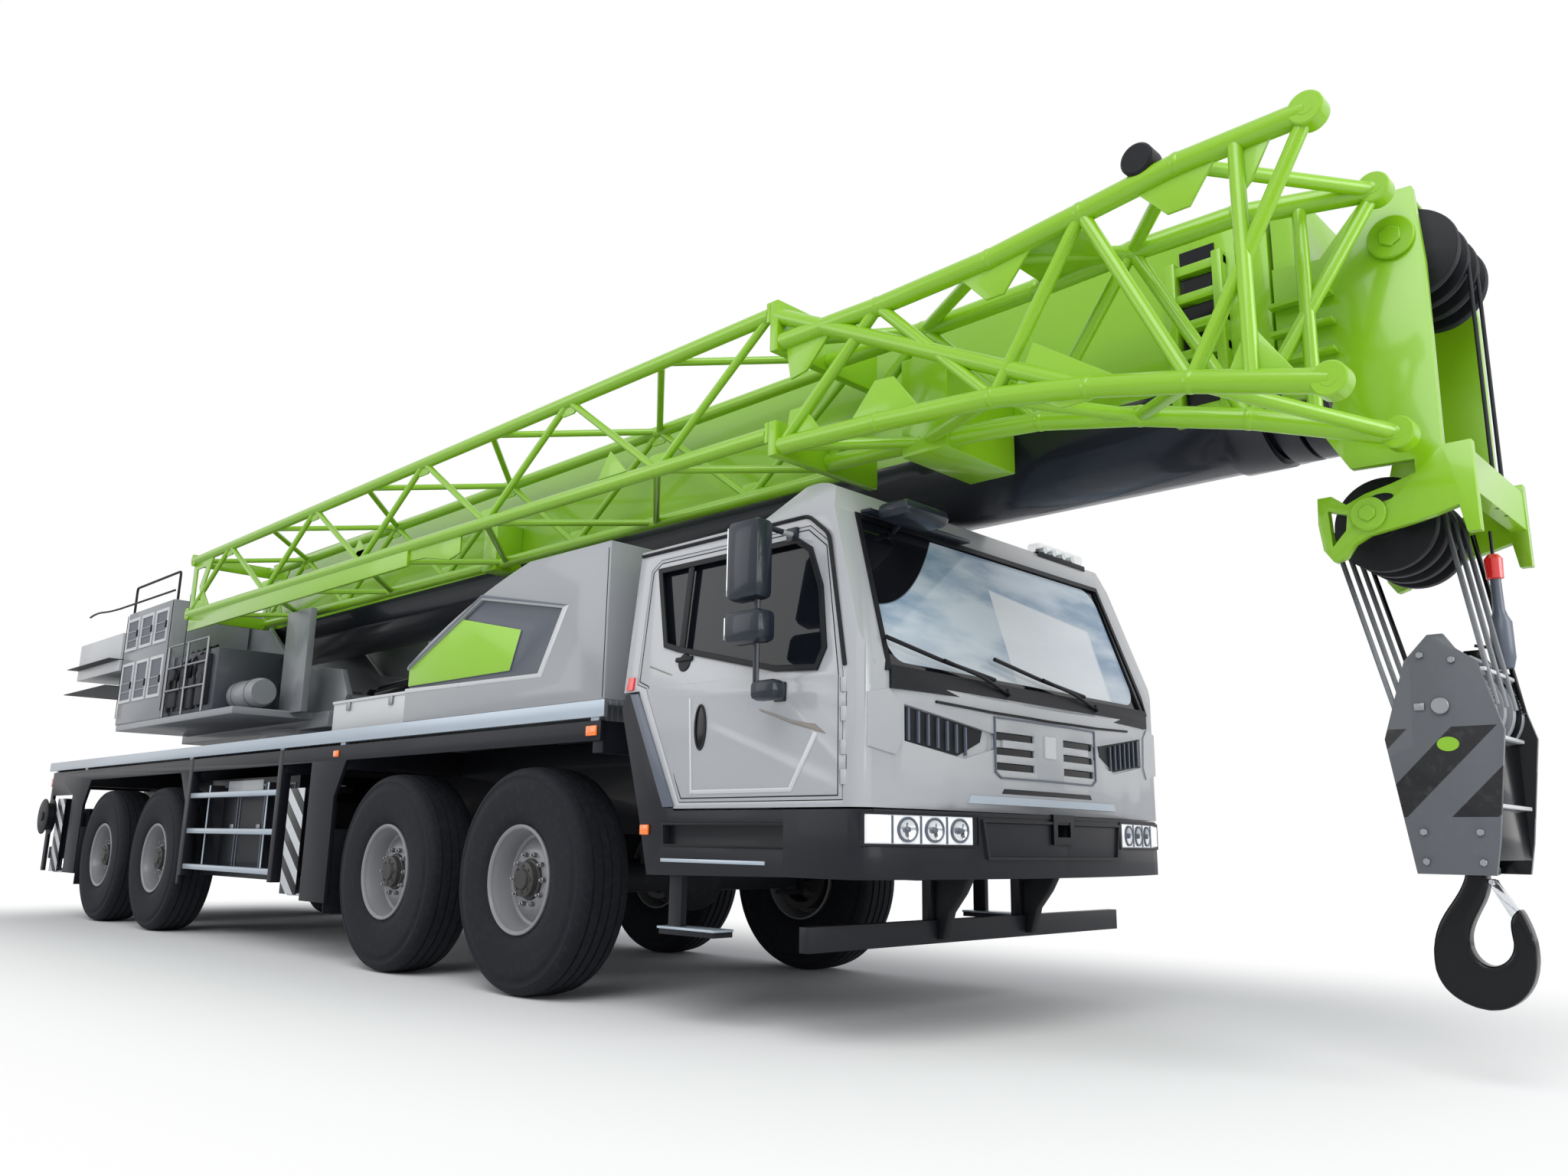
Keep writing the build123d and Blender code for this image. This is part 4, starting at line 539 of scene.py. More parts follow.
class Workshop:
    """Modelling moves that every sub-assembly inherits. Sizes are in metres."""

    made: ClassVar[dict[Look, bpy.types.Material]] = {}

    def material(self, look: Look) -> bpy.types.Material:
        """The material of a finish, built once.

        Args:
            look: the finish.

        Returns:
            Its material.
        """
        if look not in self.made:
            self.made[look] = look.value.build()
        return self.made[look]

    def only(self, *pieces: Piece) -> None:
        """Select these pieces alone, the first one active.

        Args:
            pieces: what to select.
        """
        bpy.ops.object.select_all(action="DESELECT")
        for piece in pieces:
            piece.select_set(True)
        bpy.context.view_layer.objects.active = pieces[0]

    def apply(self, piece: Piece, kind: str, **settings: Any) -> Piece:
        """Add a modifier with its settings and apply it.

        Args:
            piece: what to change.
            kind: the modifier's type.
            settings: its properties.

        Returns:
            The same piece.
        """
        modifier = piece.modifiers.new(kind.lower(), kind)
        for key, value in settings.items():
            setattr(modifier, key, value)
        self.only(piece)
        bpy.ops.object.modifier_apply(modifier=modifier.name)
        return piece

    def bevel(self, piece: Piece, width: float, segments: int = 2, angle: float = 34) -> Piece:
        """Round a piece's sharp edges."""
        return self.apply(piece, "BEVEL", width=width, segments=segments, limit_method="ANGLE",
                          angle_limit=math.radians(angle))

    def merge(self) -> None:
        """In edit mode, merge what coincides."""
        bpy.ops.mesh.select_all(action="SELECT")
        bpy.ops.mesh.remove_doubles(threshold=MERGE)

    def block(self, name: str, x: Pair, y: Pair, z: Pair, edge: float = 0.004) -> Piece:
        """A box between limits, with rounded edges.

        Args:
            name: the piece's name.
            x: limits along X.
            y: limits along Y, in either order.
            z: limits along Z.
            edge: the rounding's width.

        Returns:
            The new piece.
        """
        spans = [sorted(span) for span in (x, y, z)]
        bpy.ops.object.select_all(action="DESELECT")
        bpy.ops.mesh.primitive_cube_add(size=1, location=[(low + high) / 2 for low, high in spans])
        piece = bpy.context.object
        piece.name = name
        piece.scale = [high - low for low, high in spans]
        bpy.ops.object.transform_apply(location=True, rotation=True, scale=True)
        return self.bevel(piece, edge) if edge else piece

    def rod(self, name: str, start: Sequence[float], end: Sequence[float], radius: float, sides: int = 20,
            edge: float = 0.002) -> Piece:
        """A round bar between two points.

        Args:
            name: the piece's name.
            start: one end.
            end: the other end.
            radius: the bar's radius.
            sides: how many facets it has round.
            edge: the rounding at its ends.

        Returns:
            The new piece.
        """
        first, last = Vector(start), Vector(end)
        along = last - first
        bpy.ops.object.select_all(action="DESELECT")
        bpy.ops.mesh.primitive_cylinder_add(vertices=sides, radius=radius, depth=along.length)
        piece = bpy.context.object
        piece.name = name
        turn = along.to_track_quat("Z", "Y").to_matrix().to_4x4()
        piece.matrix_world = Matrix.Translation((first + last) / 2) @ turn
        bpy.ops.object.transform_apply(location=True, rotation=True, scale=True)
        return self.bevel(piece, edge, 1, 60) if edge else piece

    def plate(self, name: str, outline: Sequence[Pair], low: float, high: float, axis: str = "Y",
              edge: float = 0.003) -> Piece:
        """A plate cut to an outline and given a thickness.

        Args:
            name: the piece's name.
            outline: corners, as (x, z), (y, z) or (x, y) for axis Y, X or Z.
            low: where the plate starts along its axis.
            high: where it ends.
            axis: the direction of its thickness.
            edge: the rounding's width.

        Returns:
            The new piece.
        """
        return self.cut_out(name, outline, low, high, axis, 0.0, edge)

    def band(self, name: str, outline: Sequence[Pair], width: float, low: float, high: float, axis: str = "Y",
             edge: float = 0.002) -> Piece:
        """A flat frame that runs round inside an outline, with the outline's limits as for a plate."""
        return self.cut_out(name, outline, low, high, axis, width, edge)

    def cut_out(self, name: str, outline: Sequence[Pair], low: float, high: float, axis: str, width: float,
                edge: float) -> Piece:
        """An outline given a thickness, whole or as a frame.

        Args:
            name: the piece's name.
            outline: corners, as for a plate.
            low: where the piece starts along its axis.
            high: where it ends.
            axis: the direction of its thickness.
            width: the frame's width, or 0 for a whole plate.
            edge: the rounding's width.

        Returns:
            The new piece.
        """
        bpy.ops.object.select_all(action="DESELECT")
        bpy.ops.mesh.primitive_circle_add(vertices=len(outline), radius=1, fill_type="NGON")
        piece = bpy.context.object
        piece.name = name
        place = {"X": lambda a, b, c: (c, a, b), "Y": lambda a, b, c: (a, c, b),
                 "Z": lambda a, b, c: (a, b, c)}[axis]
        for vertex, (a, b) in zip(piece.data.vertices, outline):
            vertex.co = place(a, b, low)
        bpy.ops.object.mode_set(mode="EDIT")
        bpy.ops.mesh.select_all(action="SELECT")
        if width:
            bpy.ops.mesh.inset(thickness=width, depth=0)
            bpy.ops.mesh.delete(type="FACE")
            bpy.ops.mesh.select_all(action="SELECT")
        bpy.ops.mesh.extrude_region_move(TRANSFORM_OT_translate={"value": place(0, 0, high - low)})
        bpy.ops.mesh.select_all(action="SELECT")
        bpy.ops.mesh.normals_make_consistent(inside=False)
        bpy.ops.object.mode_set(mode="OBJECT")
        return self.bevel(piece, edge) if edge else piece

    def ball(self, name: str, centre: Sequence[float], radius: float) -> Piece:
        """A sphere.

        Args:
            name: the piece's name.
            centre: its middle.
            radius: its radius.

        Returns:
            The new piece.
        """
        bpy.ops.object.select_all(action="DESELECT")
        bpy.ops.mesh.primitive_uv_sphere_add(segments=24, ring_count=12, radius=radius, location=centre)
        piece = bpy.context.object
        piece.name = name
        bpy.ops.object.transform_apply(location=True, rotation=True, scale=True)
        return piece

    def drape(self, piece: Piece, surface: Callable[[float, float], float], cuts: int) -> Piece:
        """Lay a piece on a curved front, its X being the height above that surface.

        Args:
            piece: the piece.
            surface: where the surface stands along X at a place (y, z).
            cuts: how often each of the piece's edges is divided first.

        Returns:
            The same piece.
        """
        self.only(piece)
        if cuts:
            bpy.ops.object.mode_set(mode="EDIT")
            bpy.ops.mesh.select_all(action="SELECT")
            bpy.ops.mesh.subdivide(number_cuts=cuts)
            bpy.ops.object.mode_set(mode="OBJECT")
        for vertex in piece.data.vertices:
            vertex.co.x += surface(vertex.co.y, vertex.co.z)
        return piece

    def lean(self, piece: Piece) -> Piece:
        """Tilt what a right side piece has above the belt inwards, as the cab's side goes.

        Args:
            piece: the piece.

        Returns:
            The same piece.
        """
        for vertex in piece.data.vertices:
            vertex.co.y += max(0.0, vertex.co.z - BELT) * SIDE_LEAN
        return piece

    def lathe(self, name: str, profile: Sequence[Pair], centre: Sequence[float], axis: str = "Y",
              steps: int = 48) -> Piece:
        """A closed profile of (radius, distance along the axis) turned all the way round.

        Args:
            name: the piece's name.
            profile: the closed outline.
            centre: a point on the axis from which distances count.
            axis: X, Y or Z.
            steps: how many facets round.

        Returns:
            The new piece.
        """
        middle = Vector(centre)
        place = {"Y": lambda r, a: (r, a, 0), "X": lambda r, a: (a, r, 0), "Z": lambda r, a: (r, 0, a)}[axis]
        turn = {"Y": (0, 1, 0), "X": (1, 0, 0), "Z": (0, 0, 1)}[axis]
        bpy.ops.object.select_all(action="DESELECT")
        bpy.ops.mesh.primitive_circle_add(vertices=len(profile), radius=1, fill_type="NOTHING")
        piece = bpy.context.object
        piece.name = name
        for vertex, (radius, along) in zip(piece.data.vertices, profile):
            vertex.co = middle + Vector(place(radius, along))
        bpy.ops.object.mode_set(mode="EDIT")
        bpy.ops.mesh.select_all(action="SELECT")
        bpy.ops.mesh.spin(steps=steps, angle=2 * math.pi, center=middle, axis=turn)
        self.close_up()
        bpy.ops.object.mode_set(mode="OBJECT")
        return piece

    def close_up(self) -> None:
        """In edit mode, merge what coincides and turn all faces outwards."""
        self.merge()
        bpy.ops.mesh.select_all(action="SELECT")
        bpy.ops.mesh.normals_make_consistent(inside=False)

    def hose(self, name: str, points: Sequence[Sequence[float]], radius: float, closed: bool = False,
             corner: float = 0.0, fine: int = 3) -> Piece:
        """A round tube that follows a line with rounded corners.

        Args:
            name: the piece's name.
            points: the line's corners.
            radius: the tube's radius.
            closed: whether the line is a loop.
            corner: how far from each corner the rounding starts, or 0 for a free curve.
            fine: steps along each stretch.

        Returns:
            The new piece, as a mesh.
        """
        line = [Vector(p) for p in points]
        if corner:
            line = rounded(line, corner, closed)
        bpy.ops.object.select_all(action="DESELECT")
        bpy.ops.curve.primitive_nurbs_path_add()
        piece = bpy.context.object
        piece.name = name
        piece.data.splines.clear()
        spline = piece.data.splines.new("NURBS")
        spline.points.add(len(line) - 1)
        for point, place in zip(spline.points, line):
            point.co = (*place, 1)
        spline.order_u, spline.use_cyclic_u, spline.use_endpoint_u = 3, closed, not closed
        spline.resolution_u = fine
        piece.data.bevel_depth, piece.data.bevel_resolution, piece.data.use_fill_caps = radius, 2, True
        self.only(piece)
        bpy.ops.object.convert(target="MESH")
        return bpy.context.object

    def join(self, name: str, pieces: Sequence[Piece]) -> Piece:
        """Join pieces into one mesh.

        Args:
            name: the joined piece's name.
            pieces: what to join, all used up but the first.

        Returns:
            The joined piece.
        """
        self.only(*pieces)
        if len(pieces) > 1:
            bpy.ops.object.join()
        pieces[0].name = name
        return pieces[0]

    def copy(self, piece: Piece, move: Matrix, name: str = "") -> Piece:
        """A copy with its own mesh, turned right side out where it is a mirror image.

        Args:
            piece: what to copy.
            move: the matrix that places the copy.
            name: the copy's name, or nothing for the first one's.

        Returns:
            The copy.
        """
        twin = piece.copy()
        twin.data = piece.data.copy()
        twin.name = name or piece.name
        bpy.context.scene.collection.objects.link(twin)
        twin.data.transform(move)
        if move.determinant() < 0:
            twin.data.flip_normals()
        return twin

    def ring(self, piece: Piece, axis: str, count: int) -> Piece:
        """Copies of a piece evenly round an axis through the origin, joined into one mesh.

        Args:
            piece: the first copy, which is used up.
            axis: X, Y or Z.
            count: how many copies.

        Returns:
            The joined piece.
        """
        copies = [self.copy(piece, Matrix.Rotation(2 * math.pi * i / count, 4, axis)) for i in range(count)]
        name = piece.name
        bpy.data.objects.remove(piece)
        return self.join(name, copies)

    def twin(self, piece: Piece, name: str) -> Piece:
        """The mirror image of a piece across the machine's middle plane."""
        return self.copy(piece, Matrix.Scale(-1, 4, (0, 1, 0)), name)

    def done(self, piece: Piece, body: str, look: Look, angle: float = 38,
             replaces: Sequence[str] = ()) -> Piece:
        """Finish a piece: shade it, give it its material and tie it to its body.

        Args:
            piece: the piece.
            body: the body that it rides on.
            look: its finish.
            angle: edges sharper than this stay sharp, in degrees.
            replaces: CAD nodes that it stands for.

        Returns:
            The same piece.
        """
        self.only(piece)
        bpy.ops.object.shade_smooth_by_angle(angle=math.radians(angle))
        piece.data.materials.clear()
        piece.data.materials.append(self.material(look))
        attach(piece, body)
        if replaces:
            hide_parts(*replaces)
        log.info("%s on %s: %d faces", piece.name, body, len(piece.data.polygons))
        return piece

    def group(self, name: str, pieces: Sequence[Piece], body: str, look: Look) -> Piece:
        """Join pieces and finish them on a body."""
        return self.done(self.join(name, pieces), body, look)

    def both(self, piece: Piece, bodies: str | tuple[str, str], look: Look) -> None:
        """Finish a right side piece and its left twin, named after their sides.

        Args:
            piece: the right side's piece, with no side in its name.
            bodies: the bodies of the right and the left one, or one body for both.
            look: their finish.
        """
        right, left = (bodies, bodies) if isinstance(bodies, str) else bodies
        name = piece.name
        self.done(self.twin(piece, f"{name}_left"), left, look)
        piece.name = f"{name}_right"
        self.done(piece, right, look)

    def skin(self, node: str, look: Look, edge: float = 0.004, angle: float = 38,
             outmost: float = 0.0) -> Piece:
        """A CAD node's shape with merged faces and rounded edges, standing for it.

        Args:
            node: the CAD node.
            look: its finish.
            edge: the rounding's width, or 0 for none.
            angle: edges sharper than this are rounded, in degrees.
            outmost: how far from the middle the piece is cut off and closed, or 0 for no cut.

        Returns:
            The new piece.
        """
        piece = self.twin_of_node(node, FLAT)
        if outmost:
            side = math.copysign(1, piece.data.vertices[0].co.y)
            bpy.ops.object.mode_set(mode="EDIT")
            bpy.ops.mesh.select_all(action="SELECT")
            bpy.ops.mesh.bisect(plane_co=(0, side * outmost, 0), plane_no=(0, side, 0), use_fill=True,
                                clear_outer=True)
            bpy.ops.object.mode_set(mode="OBJECT")
        if edge:
            self.bevel(piece, edge, 2, angle)
        return self.done(piece, frame["nodes"][node]["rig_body"], look, angle, replaces=(node,))

    def forged(self, node: str, look: Look, voxel: float = 0.007, rounds: int = 14) -> Piece:
        """A CAD node's shape softened all over, as a forging is, standing for it.

        Args:
            node: the CAD node.
            look: its finish.
            voxel: how fine the new mesh is.
            rounds: how often it is smoothed.

        Returns:
            The new piece.
        """
        piece = self.twin_of_node(node)
        self.apply(piece, "REMESH", mode="VOXEL", voxel_size=voxel)
        self.apply(piece, "SMOOTH", factor=0.9, iterations=rounds)
        return self.done(piece, frame["nodes"][node]["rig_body"], look, 80, replaces=(node,))

    def plain(self, node: str, look: Look) -> None:
        """Give a CAD node its finish as it stands.

        Args:
            node: the CAD node.
            look: its finish.
        """
        slots = frame["nodes"][node].data.materials
        slots.clear()
        slots.append(self.material(look))

    def twin_of_node(self, node: str, flat: float = 0.0) -> Piece:
        """A copy of a CAD node's mesh with merged corners, selected.

        Args:
            node: the CAD node, which stays as it is.
            flat: faces that meet at less than this become one, in degrees, or 0 for none.

        Returns:
            The copy.
        """
        piece = bpy.data.objects.new(f"{node}_skin", frame["nodes"][node].data.copy())
        bpy.context.scene.collection.objects.link(piece)
        self.only(piece)
        bpy.ops.object.mode_set(mode="EDIT")
        self.merge()
        if flat:
            bpy.ops.mesh.select_all(action="SELECT")
            bpy.ops.mesh.dissolve_limited(angle_limit=math.radians(flat))
        bpy.ops.object.mode_set(mode="OBJECT")
        return piece

    def recolour(self, piece: Piece, look: Look, test: Callable[[Vector, Vector], bool]) -> None:
        """Give another finish to the faces that pass a test.

        Args:
            piece: the piece.
            look: the other finish.
            test: what a face passes by its middle and its normal.
        """
        piece.data.materials.append(self.material(look))
        index = len(piece.data.materials) - 1
        for face in piece.data.polygons:
            if test(face.center, face.normal):
                face.material_index = index


def cab_front(y: float, z: float) -> float:
    """Where the cab's front stands along X.

    Args:
        y: the place across.
        z: the place up.

    Returns:
        The surface's X there.
    """
    bow = NOSE_X - BOW_RADIUS + math.sqrt(BOW_RADIUS ** 2 - y * y)
    slope = SCREEN_X - SCREEN_RAKE * (z - SCREEN_Z)
    return min(bow, NOSE_X if z < SCREEN_FOOT_Z else slope)


def oval(centre: Pair, half: Pair, count: int = 28) -> list[Pair]:
    """Corners of an ellipse."""
    turns = (2 * math.pi * i / count for i in range(count))
    return [(centre[0] + half[0] * math.cos(t), centre[1] + half[1] * math.sin(t)) for t in turns]


def rounded(line: Sequence[Vector], reach: float, closed: bool) -> list[Vector]:
    """Points before and after each corner of a line, so that a curve through them rounds it.

    Args:
        line: the corners.
        reach: how far from the corner the rounding starts.
        closed: whether the line is a loop.

    Returns:
        The denser line.
    """
    count = len(line)
    dense = []
    for index, corner in enumerate(line):
        if not closed and index in (0, count - 1):
            dense.append(corner)
            continue
        for other in (line[index - 1], line[(index + 1) % count]):
            span = other - corner
            near = corner + span.normalized() * min(reach, span.length * 0.45)
            if other is line[index - 1]:
                dense += [near, corner]
            else:
                dense.append(near)
    return dense


@dataclass
class Wheels(Workshop):
    """Eight tyres on dished rims."""

    radius: float = 0.702
    half_width: float = 0.195
    bead: float = 0.330
    track: float = 1.285
    steps: int = 96
    slots: int = 48
    hand_holes: int = 10
    nuts: int = 10
    axles: tuple[float, ...] = (2.55, 0.83, -3.93, -5.58)

    def build(self) -> None:
        """Model one wheel about the origin and set it at each axle end."""
        # the hub and drum take the dark centre finish, partly their paint and partly painted shade of the
        # deep dish
        models = (("road_tyre", self.tyre(), Look.TYRE, 50, "tyre"),
                  ("wheel_rim", self.rim(), Look.RIM, 30, "rim"),
                  ("wheel_hub", self.centre(), Look.RIM_DARK, 30, ""),
                  ("wheel_nuts", self.nut_ring(), Look.STEEL, 30, ""))
        for axle, place in enumerate(self.axles, 1):
            for side_name, side in SIDES:
                turn = Matrix.Rotation(math.pi if side > 0 else 0, 4, "Z")
                move = Matrix.Translation((place, side * self.track, self.radius)) @ turn
                tag = f"{axle}_{side_name}"
                for title, model, look, angle, node in models:
                    piece = self.copy(model, move, f"{title}_{tag}")
                    self.done(piece, f"wheel_{tag}", look, angle, (f"{node}_{tag}",) if node else ())
        for model in models:
            bpy.data.objects.remove(model[1])

    def tyre(self) -> Piece:
        """A tyre about the Y axis, with ribs on its wall and slots in its shoulders."""
        w, r = self.half_width, self.radius
        half = [(self.bead, 0.150), (0.342, 0.163), (0.362, 0.168), (0.372, 0.178), (0.43, 0.188),
                (0.50, w - 0.001), (0.565, w), (0.600, w - 0.002), (0.604, w - 0.006), (0.640, w - 0.010),
                (0.645, w - 0.007), (0.668, w - 0.016), (0.684, w - 0.030), (0.694, w - 0.052),
                (r - 0.003, w - 0.085), (r - 0.014, w - 0.088), (r - 0.014, w - 0.099),
                (r - 0.001, w - 0.102), (r, w - 0.155), (r - 0.013, w - 0.158), (r - 0.013, w - 0.169),
                (r, w - 0.172)]
        inner = [(radius, -half_y) for radius, half_y in reversed(half)]
        piece = self.lathe("tyre", half + inner, (0, 0, 0), "Y", self.steps)
        low, high = w - 0.085, w - 0.016
        for face in piece.data.polygons:
            middle = face.center
            turn = math.atan2(middle.z, middle.x) / (2 * math.pi) * self.slots
            face.select = low < abs(middle.y) < high and middle.xz.length > 0.66 and turn % 1 < 0.5
        bpy.ops.object.mode_set(mode="EDIT")
        bpy.ops.mesh.extrude_region_shrink_fatten(TRANSFORM_OT_shrink_fatten={"value": -0.012})
        bpy.ops.object.mode_set(mode="OBJECT")
        return piece

    def rim(self) -> Piece:
        """The rim with its lip, well and dished disc with hand holes, open side towards -Y."""
        profile = [(0.330, -0.150), (0.338, -0.158), (0.339, -0.172), (0.332, -0.178), (0.322, -0.176),
                   (0.312, -0.166), (0.306, -0.140), (0.298, -0.122), (0.292, -0.060), (0.286, -0.030),
                   (0.268, -0.022), (0.225, -0.046), (0.192, -0.070), (0.176, -0.076), (0.120, -0.076),
                   (0.120, -0.060), (0.176, -0.060), (0.215, -0.034), (0.262, -0.006), (0.290, 0.020),
                   (0.300, 0.140), (0.318, 0.176), (0.330, 0.172)]
        piece = self.lathe("rim", profile, (0, 0, 0), "Y", 60)
        for face in piece.data.polygons:
            middle = face.center
            turn = math.atan2(middle.z, middle.x) / (2 * math.pi) * self.hand_holes
            band = 0.19 < middle.xz.length < 0.272 and middle.y < -0.025 and face.normal.y < 0
            face.select = band and turn % 1 < 0.34
        bpy.ops.object.mode_set(mode="EDIT")
        bpy.ops.mesh.inset(thickness=0.008, depth=0)
        bpy.ops.mesh.extrude_region_move(TRANSFORM_OT_translate={"value": (0, 0.018, 0)})
        bpy.ops.mesh.delete(type="FACE")
        bpy.ops.object.mode_set(mode="OBJECT")
        return piece

    def centre(self) -> Piece:
        """The hub with its stepped cap."""
        profile = [(0.0, -0.152), (0.055, -0.152), (0.062, -0.147), (0.066, -0.136), (0.098, -0.134),
                   (0.108, -0.128), (0.112, -0.096), (0.124, -0.090), (0.130, -0.078), (0.130, 0.02),
                   (0.0, 0.02)]
        hub = self.lathe("hub", profile, (0, 0, 0), "Y", 40)
        bolt = self.rod("cap_bolt", (0.082, -0.142, 0), (0.082, -0.133, 0), 0.009, 6, 0.001)
        wall = [(0.20, 0.0), (0.25, 0.0), (0.25, 0.15), (0.20, 0.15)]
        drum = self.lathe("drum", wall, (0, 0, 0), "Y", 40)
        return self.join("hub", [hub, self.ring(bolt, "Y", 8), drum])

    def nut_ring(self) -> Piece:
        """The wheel nuts on their studs."""
        nut = self.rod("nut", (0.158, -0.104, 0), (0.158, -0.076, 0), 0.0165, 6, 0.002)
        stud = self.rod("stud", (0.158, -0.118, 0), (0.158, -0.090, 0), 0.009, 12, 0.001)
        return self.ring(self.join("nut", [nut, stud]), "Y", self.nuts)


@dataclass
class Studio(Workshop):
    """Camera, lamps, world and floor."""

    focal: float = 26.842
    place: Point = (8.990, -5.727, 0.960)
    yaw: float = 134.189
    pitch: float = 12.234
    roll: float = 0.912
    sensor: float = 36.0
    sky: Colour = (0.93, 0.96, 1.0, 1)
    sky_light: float = 0.48
    white: Colour = (1, 1, 1, 1)
    floor_size: float = 240
    shadow_end: float = 5.6
    shadow_side: float = 1.2
    fade: Pair = (0.5, 3.8)

    def build(self) -> None:
        """Make the whole stage."""
        self.camera()
        self.world()
        self.floor()
        self.lamp("key", (9.0, -9.0, 11.0), (2.0, -1.0, 1.5), 9.0, 900)
        self.lamp("fill", (-6.0, -12.0, 6.0), (-1.0, -1.5, 1.2), 8.0, 300)
        self.lamp("front", (16.0, 1.0, 5.0), (5.0, 0.0, 1.8), 6.0, 520)

    def camera(self) -> None:
        """Set the camera where the photograph was taken from."""
        yaw, pitch, roll = (math.radians(a) for a in (self.yaw, self.pitch, self.roll))
        ahead = Vector((math.cos(yaw) * math.cos(pitch), math.sin(yaw) * math.cos(pitch), math.sin(pitch)))
        right = Vector((math.sin(yaw), -math.cos(yaw), 0))
        up = right.cross(ahead)
        turned_right = right * math.cos(roll) + up * math.sin(roll)
        turned_up = up * math.cos(roll) - right * math.sin(roll)
        bpy.ops.object.camera_add(location=self.place)
        camera = bpy.context.object
        basis = Matrix((turned_right, turned_up, -ahead)).transposed()
        camera.matrix_world = Matrix.Translation(self.place) @ basis.to_4x4()
        camera.data.sensor_fit, camera.data.sensor_width = "HORIZONTAL", self.sensor
        camera.data.lens = self.focal
        camera.data.clip_start, camera.data.clip_end = 0.05, 300
        bpy.context.scene.camera = camera
        bpy.context.scene.view_settings.view_transform = "Standard"

    def world(self) -> None:
        """A pale sky that is white to the camera and in mirrors."""
        world = bpy.context.scene.world or bpy.data.worlds.new("studio")
        bpy.context.scene.world = world
        kit = NodeKit("studio_sky", world)
        soft = kit.node("ShaderNodeBackground", {}, {"Color": self.sky, "Strength": self.sky_light})
        white = kit.node("ShaderNodeBackground", {}, {"Color": self.white, "Strength": 1.0})
        rays = kit.node("ShaderNodeLightPath").outputs
        seen = kit.maths("MAXIMUM", Signal(kit, rays["Is Camera Ray"]), Signal(kit, rays["Is Glossy Ray"]))
        seen = kit.maths("MAXIMUM", seen, Signal(kit, rays["Is Transmission Ray"]))
        kit.finish(kit.node("ShaderNodeMixShader", {}, {0: seen, 1: soft.outputs[0], 2: white.outputs[0]}))

    def floor(self) -> None:
        """A wide pale floor that keeps the shadow and fades to white round the machine."""
        bpy.ops.object.select_all(action="DESELECT")
        bpy.ops.mesh.primitive_plane_add(size=self.floor_size, location=(0, 0, 0))
        floor = bpy.context.object
        floor.name = "studio_floor"
        kit = NodeKit("studio_floor")
        tone = kit.noise(0.6, 3.0)
        ground = kit.shade(Base_Color=kit.blend(tone * 0.08, (0.95, 0.95, 0.95, 1), (0.91, 0.91, 0.92, 1)),
                           Roughness=0.9, Specular_IOR_Level=0.0)
        past_end = kit.maths("MAXIMUM", kit.x.size() - self.shadow_end, 0.0)
        past_side = kit.maths("MAXIMUM", kit.y.size() - self.shadow_side, 0.0)
        reach = kit.maths("SQRT", past_end * past_end + past_side * past_side)
        bright = kit.node("ShaderNodeEmission", {}, {"Color": self.white, "Strength": 1.0})
        seen = Signal(kit, kit.node("ShaderNodeLightPath").outputs["Is Camera Ray"])
        fade = reach.step(*self.fade) * seen
        kit.finish(kit.node("ShaderNodeMixShader", {}, {0: fade, 1: ground.outputs[0], 2: bright.outputs[0]}))
        floor.data.materials.append(kit.material)

    def lamp(self, name: str, place: Point, target: Point, size: float, power: float) -> None:
        """A square soft lamp aimed at a point.

        Args:
            name: the lamp's name.
            place: where it stands.
            target: what it is aimed at.
            size: its side.
            power: its power in watts.
        """
        bpy.ops.object.light_add(type="AREA", location=place)
        lamp = bpy.context.object
        lamp.name = name
        lamp.data.size, lamp.data.energy = size, power
        lamp.rotation_euler = (Vector(target) - Vector(place)).to_track_quat("-Z", "Y").to_euler()


